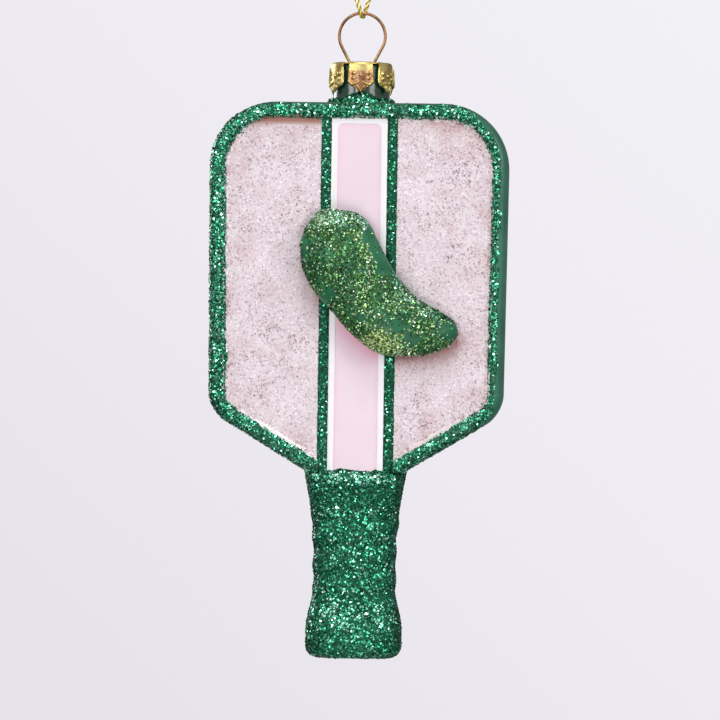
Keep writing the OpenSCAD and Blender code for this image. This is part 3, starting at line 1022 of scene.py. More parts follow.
@dataclass
class Paddle:
    """The glass paddle: head with raised rim and panels, neck and grip, and the coats on them."""

    head_w: float = 59.6
    head_t: float = 18.0
    corner_r: float = 13.2
    lower_r: float = 7.0
    taper: float = 31.0
    side_lean: float = 0.6
    rim_w: float = 3.2
    recess: float = 1.0
    throat_w: float = 19.8
    grip_w: float = 15.6
    grip_t: float = 13.2
    butt_w: float = 18.6
    butt_t: float = 15.6
    butt_r: float = 2.2
    grip_rise: float = 0.6
    ridge_h: float = 0.3
    ridge_pitch: float = 5.4
    shoulder: float = 1.6
    flare_l: float = 9.0
    neck_r: float = 5.6
    foot_flare: float = 0.6
    mound_w: float = 7.0
    mound_h: float = 2.0
    coat: float = 0.3
    line_x: float = 6.55
    line_w: float = 2.0
    line_h: float = 0.6
    stripe_w: float = 8.5
    border_t: float = 0.25
    enamel: float = 0.15
    frost_gap: float = 0.8
    frost_t: float = 0.08
    gap: float = 0.04
    # Heights above the throat up to which the way through the rim and the lower slants reach
    gate_h: float = 6.0
    slant_h: float = 20.0
    # The rim takes glitter in front of this depth, on a bed this thick
    band_y: float = 7.0
    band_t: float = 0.16
    # How many times flare_l the throat's width takes to narrow, and how sharply it does
    flare_run: float = 1.8
    flare_bend: float = 1.6
    # Where the butt begins to flare, and over how far, as shares of the grip's length
    butt_from: float = 0.62
    butt_run: float = 0.24
    # Where the wrap's ridges begin, the length they rise over, the share of the grip's length at which they
    # end, and how much more they stand out at the front and the back
    ridge_from: float = 7.0
    ridge_rise: float = 3.0
    ridge_end: float = 0.7
    ridge_front: float = 0.8
    # Where the rim's outer slope stays bare at the right: from x, fading over, and from z, fading over
    bare_side: tuple[float, float, float, float] = (18.0, 7.0, -106.0, 6.0)
    # Glitter spilt over the left panel's edge: height, half of its spread, and reach
    spilt: tuple[float, float, float] = (-91.0, 1.3, 0.8)
    head_z: float = field(init=False)
    throat_z: float = field(init=False)
    grip_l: float = field(init=False)
    mouth_z: float = field(init=False)

    def __post_init__(self) -> None:
        """Read the heights off the frame."""
        self.head_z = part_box("front_left_line")[1].z / MM + self.rim_w + self.gap
        self.throat_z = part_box("grip_glitter")[1].z / MM
        self.grip_l = self.throat_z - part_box("grip_glitter")[0].z / MM - self.coat
        self.mouth_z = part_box("glass_shell")[1].z / MM

    @property
    def crest_in(self) -> float:
        """Distance of the rim's crest from the outline."""
        return 0.6 * self.rim_w

    @property
    def face_y(self) -> float:
        """Depth of the panels from the middle plane."""
        return self.head_t / 2 - self.recess

    @property
    def panel_top(self) -> float:
        """Height of the panels' top edge."""
        return self.head_z - self.rim_w

    @property
    def gate_x(self) -> float:
        """Half width of the way through the rim for the stripe and the lines."""
        return self.line_x + self.line_w / 2 + self.gap

    def in_gate(self, place: Vector) -> bool:
        """Tell whether a point lies in the way through the rim."""
        return abs(place.x) < self.gate_x - self.gap / 2 and place.z < self.throat_z + self.gate_h

    def on_panel(self, place: Vector, normal: Vector) -> bool:
        """Tell whether a face of the front half lies flat in its panel."""
        return normal.y < -0.99 and abs(place.y + self.face_y) < 0.01

    def on_slant(self, spots: np.ndarray) -> np.ndarray:
        """Give how far each point lies on the lower slants, fading out towards the sides."""
        fade = np.clip((26 - np.abs(spots[:, 0])) / 8, 0, 1)
        return fade * (spots[:, 2] < self.throat_z + self.slant_h)

    def edges(self) -> tuple[np.ndarray, np.ndarray]:
        """Work out the straight edges of the head's right half: its side and its lower slant.

        Returns:
            Their outward directions in x and z, a row for each, and their distances from the origin.
        """
        lean = math.radians(self.side_lean)
        slope = math.radians(self.taper)
        top_x = self.head_w / 2 - self.corner_r
        top_z = self.head_z - self.corner_r
        out = np.array([[math.cos(lean), -math.sin(lean)], [math.sin(slope), -math.cos(slope)]])
        side_d = out[0, 0] * top_x + out[0, 1] * top_z + self.corner_r
        edge_d = out[1, 0] * self.throat_w / 2 + out[1, 1] * self.throat_z
        return out, np.array([side_d, edge_d])

    def corners(self) -> list[tuple[float, float, float]]:
        """Work out the six sharp corners of the head.

        Returns:
            For each corner of the right half, x, z and the length that its rounding takes.
        """
        (side, edge), (side_d, edge_d) = self.edges()
        # Below the throat, inside the grip, the slants turn straight down
        foot_r = self.rim_w + 1.2
        foot_z = self.throat_z - self.rim_w - 0.3
        det = side[0] * edge[1] - side[1] * edge[0]
        low_x = (side_d * edge[1] - edge_d * side[1]) / det
        low_z = (side[0] * edge_d - edge[0] * side_d) / det
        turns = (90 + self.side_lean, 90 - self.taper - self.side_lean, self.taper)
        takes = [r * math.tan(math.radians(t / 2))
                 for r, t in zip((self.corner_r, self.lower_r, foot_r), turns)]
        return [
            ((side_d - side[1] * self.head_z) / side[0], self.head_z, takes[0]),
            (low_x, low_z, takes[1]),
            ((edge_d - edge[1] * foot_z) / edge[0], foot_z, takes[2]),
        ]

    def outline(self, name: str) -> Piece:
        """Draw the flat outline of the head: six corners, each rounded by a bevel.

        Args:
            name: The piece's name.

        Returns:
            One flat face on the middle plane, towards the front.
        """
        right = self.corners()
        spots = list(reversed(right)) + [(-x, z, take) for x, z, take in right]
        deselect()
        bpy.ops.mesh.primitive_circle_add(vertices=6, radius=MM, fill_type="NGON")
        piece = bpy.context.object
        piece.name = name
        with editing(piece):
            shape = bmesh.from_edit_mesh(piece.data)
            for vert, (x, z, _) in zip(shape.verts, spots):
                vert.co = Vector((x, 0, z)) * MM
            shape.normal_update()
            bmesh.update_edit_mesh(piece.data)
            for x, z, take in right:
                pick(piece, Kind.VERT, lambda p, n: abs(abs(p.x) - x) < 0.01 and abs(p.z - z) < 0.01)
                bpy.ops.mesh.bevel(offset_type="OFFSET", offset=take * MM, segments=16 if take > 3 else 6,
                                   profile=0.5, affect="VERTICES", clamp_overlap=False)
            pick(piece, Kind.FACE, lambda p, n: True)
            if bmesh.from_edit_mesh(piece.data).faces[:][0].normal.y > 0:
                bpy.ops.mesh.flip_normals()
        return piece

    def rim_steps(self) -> list[tuple[float, float]]:
        """List the rim's section from the middle of the edge over the crest down to the panel.

        Returns:
            Distances from the outline and depths from the middle plane.
        """
        outer = []
        for i in range(10, -1, -1):
            u = math.radians(9 * i)
            outer.append((self.crest_in * (1 - math.sin(u) ** (2 / 3)),
                          self.head_t / 2 * math.cos(u) ** (2 / 3)))
        inner = []
        for i in range(5, -1, -1):
            u = math.radians(18 * i)
            inner.append((self.crest_in + (self.rim_w - self.crest_in) * math.cos(u),
                          self.face_y + self.recess * math.sin(u)))
        return outer + inner[1:]

    def front_half(self) -> Piece:
        """Raise the front half of the head from its outline, ring by ring, and press a gate in the rim.

        Returns:
            An open half with the panel in its middle.
        """
        piece = self.outline("glass_front")
        steps = self.rim_steps()
        with editing(piece):
            pick(piece, Kind.FACE, lambda p, n: True)
            # An inset of no width would fold up, so each has a little
            for (was_in, was_y), (now_in, now_y) in zip(steps, steps[1:]):
                bpy.ops.mesh.inset(thickness=max(now_in - was_in, 0.0005) * MM, depth=(now_y - was_y) * MM,
                                   use_boundary=True, use_even_offset=True)
            for x in (self.gate_x, self.gate_x - self.gap):
                cut(piece, (x, 0, 0), (1, 0, 0))
                cut(piece, (-x, 0, 0), (1, 0, 0))
            pick(piece, Kind.VERT, lambda p, n: self.in_gate(p) and p.y < -self.face_y)
            bpy.ops.transform.resize(value=(1, 0, 1), center_override=(0, -self.face_y * MM, 0))
        mark(piece, "panel", [float(self.inside_rim(v.co / MM)) for v in piece.data.vertices])
        return piece

    def inside_rim(self, place: Vector) -> bool:
        """Tell whether a point of the head lies in a panel or at the foot of the rim's inner slope.

        Args:
            place: The point in millimetres.

        Returns:
            Whether it does.
        """
        deep = abs(place.y) >= self.face_y - 0.01
        reach = self.outline_gaps(np.array([place]))[0]
        return deep and (reach > 0.9 * self.rim_w or self.in_gate(place))

    def outline_gaps(self, spots: np.ndarray) -> np.ndarray:
        """Give the distance of each point of the head from the outline.

        Args:
            spots: Places in millimetres.

        Returns:
            Distances, larger towards the middle.
        """
        x = np.abs(spots[:, 0])
        z = spots[:, 2]
        top_x = self.head_w / 2 - self.corner_r
        top_z = self.head_z - self.corner_r
        (side, edge), far = self.edges()
        to_side = far[0] - (side[0] * x + side[1] * z)
        to_edge = far[1] - (edge[0] * x + edge[1] * z)
        plain = np.minimum(np.minimum(self.head_z - z, to_side), to_edge)
        bend = self.corner_r - np.hypot(x - top_x, z - top_z)
        plain = np.where((x > top_x) & (z > top_z), bend, plain)
        low_x, low_z = np.linalg.solve(np.array([side, edge]), far - self.lower_r)
        out_x, out_z = x - low_x, z - low_z
        past_side = side[0] * out_z - side[1] * out_x < 0
        past_edge = edge[0] * out_z - edge[1] * out_x > 0
        return np.where(past_side & past_edge, self.lower_r - np.hypot(out_x, out_z), plain)

    def panel(self, front: Piece, gap: float) -> Piece:
        """Copy the right panel off the front half.

        Args:
            front: The front half of the head.
            gap: Width of the strip that stays bare along the rim.

        Returns:
            The flat panel, right of the lines.
        """
        piece = copy_of(front, "panel")
        with editing(piece):
            pick(piece, Kind.FACE, self.on_panel)
            bpy.ops.mesh.inset(thickness=gap * MM, use_even_offset=True)
            bpy.ops.mesh.select_all(action="INVERT")
            bpy.ops.mesh.delete(type="FACE")
            cut(piece, (self.gate_x, 0, 0), (1, 0, 0), clear=True)
        return piece

    def grip_ring(self, s: float, grow: float, sides: int, length: float) -> np.ndarray:
        """Work out one level section of the grip.

        Args:
            s: Distance below the throat.
            grow: How far it stands off the glass.
            sides: Number of points.
            length: Length of the grip to its rounded end.

        Returns:
            The section's points.
        """
        flare = max(0.0, 1 - max(s, 0) / (self.flare_run * self.flare_l)) ** self.flare_bend
        butt = ease((s - self.butt_from * self.grip_l) / (self.butt_run * self.grip_l))
        half_x = self.grip_w / 2 + (self.throat_w - self.grip_w) / 2 * flare
        half_x += (self.butt_w - self.grip_w) / 2 * butt
        throat_y = self.head_t / 2 + self.grip_rise
        if s < self.shoulder:
            up = 1 - max(s, 0) / self.shoulder
            half_y = self.face_y + (throat_y - self.face_y) * math.sqrt(1 - up * up)
        else:
            drop = (s - self.shoulder) / (self.flare_l - self.shoulder)
            narrow = max(0.0, 1 - drop) ** self.flare_bend
            half_y = self.grip_t / 2 + (throat_y - self.grip_t / 2) * narrow
            half_y += (self.butt_t - self.grip_t) / 2 * butt
        # The section is squarish at the throat and rounder further down
        bend = 2 / (5 - 2 * ease((s - 4) / 6))
        past = s - length + self.butt_r
        inward = self.butt_r - math.sqrt(max(0.0, self.butt_r ** 2 - past ** 2)) if past > 0 else 0.0
        points = []
        for k in range(sides):
            a = 2 * math.pi * k / sides
            ridge = self.ridge_h * (0.5 + 0.5 * math.cos(2 * math.pi * s / self.ridge_pitch + a))
            begun = ease((s - self.ridge_from) / self.ridge_rise)
            ridge *= begun * ease((self.ridge_end * self.grip_l - s) / self.ridge_rise)
            off = grow - inward + ridge
            x = math.copysign(abs(math.cos(a)) ** bend, math.cos(a)) * (half_x + off)
            deep = half_y + off + self.ridge_front * ridge
            y = math.copysign(abs(math.sin(a)) ** bend, math.sin(a)) * deep
            points.append((x, y, self.throat_z - s))
        return np.array(points)

    def grip(self, name: str, grow: float, ragged: float) -> Piece:
        """Extrude the grip from the throat down to its rounded end.

        Args:
            name: The piece's name.
            grow: How far it stands off the glass.
            ragged: How far its top edge runs up unevenly over the head.

        Returns:
            The closed grip.
        """
        length = self.grip_l + grow
        levels = [0.0, 0.1, 0.3, 0.6, 1.0, 1.6, 2.2]
        levels += list(np.linspace(2.9, length - self.butt_r, 64))
        levels += [length - self.butt_r + self.butt_r * math.sin(math.radians(9 * i)) for i in range(1, 11)]
        rings = [self.grip_ring(s, grow, 128, length) for s in levels]
        for place in rings[0]:
            place[2] += ragged * (0.5 + noise.noise(Vector((place[0] / 0.9, place[1] / 0.9, 3.0))))
        middle = rings[-1].mean(0)
        rings.append(middle + (rings[-1] - middle) * 0.5)
        rings.insert(0, rings[0] * np.array([0.8, 0.8, 1.0]))
        return loft(name, rings)

    def neck(self) -> Piece:
        """Turn the hollow neck with its spread foot and rolled mouth.

        Returns:
            The neck.
        """
        foot, top, r = self.head_z, self.mouth_z, self.neck_r
        wide = r + self.foot_flare
        return turned("glass_neck", (
            (wide, foot - 1.2), (wide, foot - 0.4), (r + 0.3 * self.foot_flare, foot + 0.8), (r, foot + 2),
            (r, top - 0.3), (r - 0.1, top - 0.08), (r - 0.3, top), (r - 0.8, top), (r - 1, top - 0.3),
            (r - 1, foot),
        ), 64)

    def glass(self, front: Piece) -> Piece:
        """Close the head, and join neck and grip to it.

        Args:
            front: The front half of the head.

        Returns:
            The glass as one piece.
        """
        head = copy_of(front, "glass_shell_visual")
        modify(head, "MIRROR", use_axis=(False, True, False), merge_threshold=HAIR * MM)
        mend(head)
        with editing(head):
            cut(head, (0, 0, self.throat_z + self.gap), (0, 0, 1), clear=True, fill=True)
        neck, grip = self.neck(), self.grip("glass_grip", grow=0.0, ragged=0.0)
        for piece, finish in ((head, GREEN_LACQUER), (neck, NECK_LACQUER), (grip, GREEN_LACQUER)):
            dress(piece, finish)
        whole = joined("glass_shell_visual", head, neck, grip)
        smooth(whole, 35)
        return whole

    def rim_cover(self, spots: np.ndarray, facing: np.ndarray) -> np.ndarray:
        """Say where glitter sticks to the rim: all across, but not on the outer slope at right and top.

        Args:
            spots: Places in millimetres.
            facing: The rim's normals there; not used.

        Returns:
            Each place's chance of a flake.
        """
        x, z = spots[:, 0], spots[:, 2]
        gaps = self.outline_gaps(spots)
        rough = clouds(spots, 1.1, 3.0) * 0.35
        side_x, over_x, side_z, over_z = self.bare_side
        bare = 2.0 * np.clip((x - side_x) / over_x, 0, 1) * np.clip((z - side_z) / over_z, 0, 1)
        bare = np.maximum(bare, 0.8 * np.clip((z - self.head_z + 5) / 4, 0, 1))
        outer = np.clip((gaps - bare + rough + clouds(spots, 5.0, 9.0) * 0.3 + 0.25) / 0.25, 0, 1)
        spilt_z, spread, reach = self.spilt
        spill = reach * np.exp(-((z - spilt_z) / spread) ** 2) * (x < 0)
        inner = self.rim_w + 0.2 - 0.3 * self.on_slant(spots) + spill
        inner = np.clip((inner - gaps + rough * 0.7) / 0.2, 0, 1)
        thin = np.clip(0.9 + clouds(spots, 4.0, 5.0), 0.35, 1)
        gate = (np.abs(x) < self.gate_x) & (z < self.throat_z + self.gate_h)
        return outer * inner * thin * ~gate * (spots[:, 1] < -self.band_y) * (z > self.throat_z)

    def rim_band(self, front: Piece) -> Piece:
        """Lay the glitter on the front of the rim.

        Args:
            front: The front half of the head.

        Returns:
            The glitter band.
        """
        band = copy_of(front, "front_rim_band")
        with editing(band):
            pick(band, Kind.FACE, lambda p, n: p.y < -self.band_y and n.y > -0.9999 and not self.in_gate(p))
            bpy.ops.mesh.select_all(action="INVERT")
            bpy.ops.mesh.delete(type="FACE")
            cut(band, (0, 0, self.throat_z + self.gap), (0, 0, 1), clear=True)
        modify(band, "SOLIDIFY", thickness=self.band_t * MM, offset=1.0)
        smooth(band, 50)
        wide = copy_of(front, "rim_field")
        with editing(wide):
            pick(wide, Kind.FACE, self.on_panel)
            bpy.ops.mesh.inset(thickness=0.6 * MM, use_even_offset=True)
            bpy.ops.mesh.delete(type="FACE")
            bpy.ops.mesh.select_all(action="SELECT")
            bpy.ops.transform.shrink_fatten(value=self.band_t * MM)
        smooth(wide, 60)
        return glittered("front_rim_glitter_visual", band, GREEN_LACQUER, EMERALD_FLAKES,
                         FlakeSpread(16500, across=0.4, tilt=20, seed=11, lift=0.2), self.rim_cover, wide)

    def bead(self, name: str) -> Piece:
        """Extrude one raised line down the panel, a little uneven in width.

        Args:
            name: The piece's name.

        Returns:
            The front right line.
        """
        low, top = (corner.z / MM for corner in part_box("front_right_line"))
        rings = []
        a = np.linspace(0, math.pi, 12)
        for z in np.linspace(top, low, 90):
            wide = self.line_w / 2 * (1.02 + 0.08 * noise.noise(Vector((0.3, 1.7, z / 1.3))))
            shift = 0.06 * noise.noise(Vector((4.1, 0.2, z / 3.0)))
            rings.append(np.stack([
                self.line_x + shift - wide * np.cos(a),
                -self.face_y - (self.line_h - 0.1) * np.sin(a),
                np.full(len(a), z)], axis=1))
        piece = loft(name, rings)
        smooth(piece, 50)
        return piece

    def lines(self) -> list[Piece]:
        """Lay the four raised glitter lines.

        Returns:
            The lines.
        """
        beads = self.four(self.bead("line_bead"))
        return [
            glittered(where + "_line_visual", bead, EMERALD_BED, EMERALD_FLAKES,
                      FlakeSpread(2400, across=0.38, tilt=24, seed=31 + number))
            for number, (where, bead) in enumerate(beads.items())
        ]

    def four(self, right: Piece) -> dict[str, Piece]:
        """Copy a piece from the front right to the other three places.

        Args:
            right: The piece at the front right.

        Returns:
            The four pieces by place.
        """
        left = flipped(right, right.name, Flip.LEFT_RIGHT)
        return {"front_right": right, "front_left": left,
                "back_right": flipped(right, right.name, Flip.FRONT_BACK),
                "back_left": flipped(left, right.name, Flip.FRONT_BACK)}

    def frost_cover(self, spots: np.ndarray, facing: np.ndarray) -> np.ndarray:
        """Say where frost sticks: up to the rim, but short of its top edge and its lower slants.

        Args:
            spots: Places in millimetres.
            facing: The panel's normals there; not used.

        Returns:
            Each place's chance of a grain.
        """
        x, z = np.abs(spots[:, 0]), spots[:, 2]
        inward = self.outline_gaps(spots) - self.rim_w + 0.25 * clouds(spots, 0.8, 2.0)
        top = np.where(spots[:, 0] < 0, 1.75, 0.5) * np.clip((24 - x) / 8, 0, 1)
        top *= z > self.panel_top - 2
        slant = 0.6 * self.on_slant(spots) * np.clip((x - 7) / 5, 0.1, 1)
        return (inward > np.maximum(top, slant)).astype(float)

    def frosts(self, front: Piece, glow: Glow) -> list[Piece]:
        """Lay the crushed-glass frost on the panels, right and left of the lines.

        Args:
            front: The front half of the head.
            glow: Gives the pickle's pink shadow, painted on the front.

        Returns:
            The four frost coats.
        """
        right = self.panel(front, self.frost_gap)
        with editing(right):
            bpy.ops.mesh.select_all(action="SELECT")
            bpy.ops.mesh.extrude_region_move(TRANSFORM_OT_translate={"value": (0, -self.frost_t * MM, 0)})
        mend(right)
        squared(right, step=1.5)
        fields = self.four(self.panel(front, gap=0.05))
        made = []
        for number, (where, sheet) in enumerate(self.four(right).items()):
            over = fields[where]
            # At the left the paint shows bare under the top edge, where it carries the lacquer's painted
            # shade
            if where.endswith("left"):
                with editing(sheet):
                    cut(sheet, (0, 0, self.panel_top - 1.6), (0, 0, -1), clear=True)
            dust = FlakeSpread(110, across=0.2, tilt=14, seed=61 + number)
            specks = dust.scatter(over, where + "_specks", self.speck_cover)
            dress(specks, DUST_SPECKS)
            grains = FlakeSpread(13000, across=0.4, tilt=26, seed=51 + number, lift=0.1, drift=0.3)
            coat = glittered(where + "_frost_visual", sheet, FROST_GROUND, FROST_GRAINS, grains,
                             self.frost_cover, over)
            places = points_of(coat)
            reach = np.clip(self.outline_gaps(places) - self.rim_w, 0, None)
            upper = np.clip(self.panel_top - places[:, 2], 0, None)
            # Painted shade dulls the frost along the rim, most of all under its top edge, and slow patches
            # of duller tone are mixed in
            dusk = 0.2 * np.exp(-reach / 2.5) + 0.3 * np.exp(-upper / 2.5)
            dusk = dusk * (1 + 1.5 * clouds(places, 3.0, 4.0)) + 0.25 * clouds(places, 4.0, 9.0)
            # The front frost also takes the pickle's painted pink shadow
            pink = glow(places) if where.startswith("front") else np.zeros(len(places))
            mark(coat, "blush", np.maximum(np.clip(dusk, 0, 1), pink))
            made.append(joined(coat.name, coat, specks))
        return made

    def speck_cover(self, spots: np.ndarray, facing: np.ndarray) -> np.ndarray:
        """Say where dust specks lie: here and there, and more along the lower outer edge."""
        edge = np.exp(-(((np.abs(spots[:, 0]) - 26) / 1.6) ** 2 + ((spots[:, 2] + 95) / 4) ** 2))
        return np.clip(0.25 + clouds(spots, 6.0, 1.0) * 0.3 + edge, 0, 1) * self.frost_cover(spots, facing)

    def stripes(self, glow: Glow) -> list[Piece]:
        """Lay the pink stripes and the white lines round them.

        Args:
            glow: Gives the pickle's pink shadow, painted on the front.

        Returns:
            The two stripes and the two borders.
        """
        half = self.line_x - self.line_w / 2 - self.gap
        top = self.panel_top - self.gap
        foot = self.throat_z + self.gap
        width = half - self.stripe_w / 2
        # The sheet starts lower and is cut off at the throat, so that no white line closes its foot
        spare = 4.0
        deselect()
        middle = (0, -self.face_y * MM, (top + foot - spare) / 2 * MM)
        bpy.ops.mesh.primitive_plane_add(size=1, location=middle, rotation=(math.pi / 2, 0, 0))
        sheet = bpy.context.object
        sheet.scale = (2 * half * MM, (top - foot + spare) * MM, 1)
        bpy.ops.object.transform_apply(location=True, rotation=True, scale=True)
        with editing(sheet):
            pick(sheet, Kind.FACE, lambda p, n: True)
            bpy.ops.mesh.inset(thickness=width * MM, use_even_offset=True)
            pick(sheet, Kind.VERT, lambda p, n: abs(p.x) < half - 0.1 and p.z > top - 2)
            bpy.ops.mesh.bevel(offset=1.0 * MM, segments=6, affect="VERTICES")
            cut(sheet, (0, 0, foot), (0, 0, 1), clear=True)
        border = copy_of(sheet, "border_sheet")
        made = []
        for piece, pink in ((sheet, True), (border, False)):
            thick = self.enamel if pink else self.border_t
            with editing(piece):
                pick(piece, Kind.FACE, lambda p, n: (abs(p.x) < 0.5 and p.z < top - 5) is not pink)
                bpy.ops.mesh.delete(type="FACE")
                bpy.ops.mesh.select_all(action="SELECT")
                bpy.ops.mesh.extrude_region_move(TRANSFORM_OT_translate={"value": (0, -thick * MM, 0)})
            mend(piece)
            modify(piece, "BEVEL", width=0.07 * MM, segments=2, limit_method="ANGLE")
            if pink:
                squared(piece, step=0.6)
            smooth(piece, 40)
            dress(piece, PINK_ENAMEL if pink else WHITE_ENAMEL)
            name = "stripe_enamel_visual" if pink else "stripe_border_visual"
            piece.name = "front_" + name
            places = points_of(piece)
            # Painted shade: the pink goes deeper along the stripe's sides and top, under the raised border
            inward = np.minimum(self.stripe_w / 2 - np.abs(places[:, 0]), top - width - places[:, 2])
            edge = 0.2 * np.exp(-(np.clip(inward, 0, None) / 0.7) ** 2)
            mark(piece, "blush", edge * pink)
            made += [piece, flipped(piece, "back_" + name, Flip.FRONT_BACK)]
            # The front stripe also takes the pickle's painted pink shadow
            mark(piece, "blush", np.maximum(edge * pink, glow(places)))
        return made

    def glint_cover(self, spots: np.ndarray, facing: np.ndarray) -> np.ndarray:
        """Say where pale flakes are strewn as painted glints: on the grip's shoulder, under each turn and
        at its end.

        Args:
            spots: Places in millimetres.
            facing: Normals there.

        Returns:
            Each place's chance of a flake.
        """
        down = self.throat_z - spots[:, 2]
        patches = np.clip(0.5 + 1.2 * clouds(spots, 1.6, 8.0), 0, 1)
        shoulder = np.exp(-((down - 1.2) / 0.9) ** 2)
        turns = np.clip(np.sin(2 * math.pi * (down - 1.2) / self.ridge_pitch), 0, 1) ** 2
        turns *= (down > 5) & (down < self.ridge_end * self.grip_l)
        end = np.exp(-((down - 0.77 * self.grip_l) / 3) ** 2)
        chance = np.maximum(shoulder, np.maximum(0.25 * turns, 0.4 * end)) * patches
        return chance * (np.abs(facing[:, 1]) > 0.4) * (np.abs(spots[:, 0]) < self.throat_w / 2 - 1.5)

    def collar(self) -> Piece:
        """Heap glitter round the foot of the neck, in a mound in front.

        Returns:
            The heap.
        """
        wide = self.neck_r + self.foot_flare
        ring = turned("neck_collar", [(wide + out, self.head_z + up) for out, up in (
            (-0.5, -0.4), (0.5, -0.3), (0.42, 0.2), (0.15, 0.6), (-0.4, 0.75))], 64, ends=False)
        # The mound is a shallow uneven dome: shares of its radius outwards and forwards
        dome = 0.57 * self.mound_w
        back_y = -0.84 * self.neck_r
        angles = np.linspace(0, 2 * math.pi, 48, endpoint=False)
        rings = []
        for out, deep in ((1.0, 0.0), (0.97, 0.22), (0.85, 0.4), (0.6, 0.53), (0.3, 0.6), (0.08, 0.62)):
            lumps = [noise.noise(Vector((math.cos(a) * 2, math.sin(a) * 2, out))) for a in angles]
            swell = 1 + 0.06 * np.array(lumps)
            rings.append(np.stack([
                dome * out * swell * np.cos(angles), np.full(len(angles), back_y - dome * deep),
                self.head_z + self.mound_h - dome + dome * out * swell * np.sin(angles)], axis=1))
        mound = loft("neck_mound", rings)
        with editing(mound):
            cut(mound, (0, 0, self.head_z - 1.2), (0, 0, 1), clear=True)
        heap = joined("neck_heap", ring, mound)
        smooth(heap, 60)
        return glittered("neck_glitter_visual", heap, EMERALD_BED, EMERALD_FLAKES,
                         FlakeSpread(3600, across=0.42, tilt=26, seed=41, lift=0.15))

    def build(self, glow: Glow) -> None:
        """Build the paddle and its coats, and let them ride.

        Args:
            glow: Gives the pickle's pink shadow, painted on the front.
        """
        front = self.front_half()
        band = self.rim_band(front)
        settle(self.glass(front), Body.PADDLE, "lacquered_glass", "glass_shell")
        back_band = flipped(band, "back_rim_glitter_visual", Flip.FRONT_BACK)
        settle(back_band, Body.PADDLE, "green_glitter", "back_rim_glitter")
        settle(band, Body.PADDLE, "green_glitter", "front_rim_glitter")
        for piece in self.frosts(front, glow):
            settle(piece, Body.PADDLE, "frost", piece.name.removesuffix("_visual"))
        for piece in self.stripes(glow):
            slot = "white_enamel" if "border" in piece.name else "pink_enamel"
            settle(piece, Body.PADDLE, slot, piece.name.removesuffix("_visual"))
        for piece in self.lines():
            settle(piece, Body.PADDLE, "green_glitter", piece.name.removesuffix("_visual"))
        sleeve = self.grip("grip_sleeve", grow=0.18, ragged=0.6)
        smooth(sleeve, 50)
        # Pale flakes on the shoulder, under the turns and at the end are painted glints
        pale = FlakeSpread(950, across=0.42, tilt=20, seed=22, lift=0.2)
        glints = pale.scatter(sleeve, "grip_glints", self.glint_cover)
        dress(glints, EMERALD_GLINTS)
        sleeve = glittered("grip_glitter_visual", sleeve, EMERALD_BED, DEEP_EMERALD_FLAKES,
                           FlakeSpread(32000, across=0.42, tilt=22, seed=21))
        settle(joined(sleeve.name, sleeve, glints), Body.PADDLE, "green_glitter", "grip_glitter")
        settle(self.collar(), Body.PADDLE, "green_glitter", "neck_glitter")
        bpy.data.meshes.remove(front.data)


# The pickle


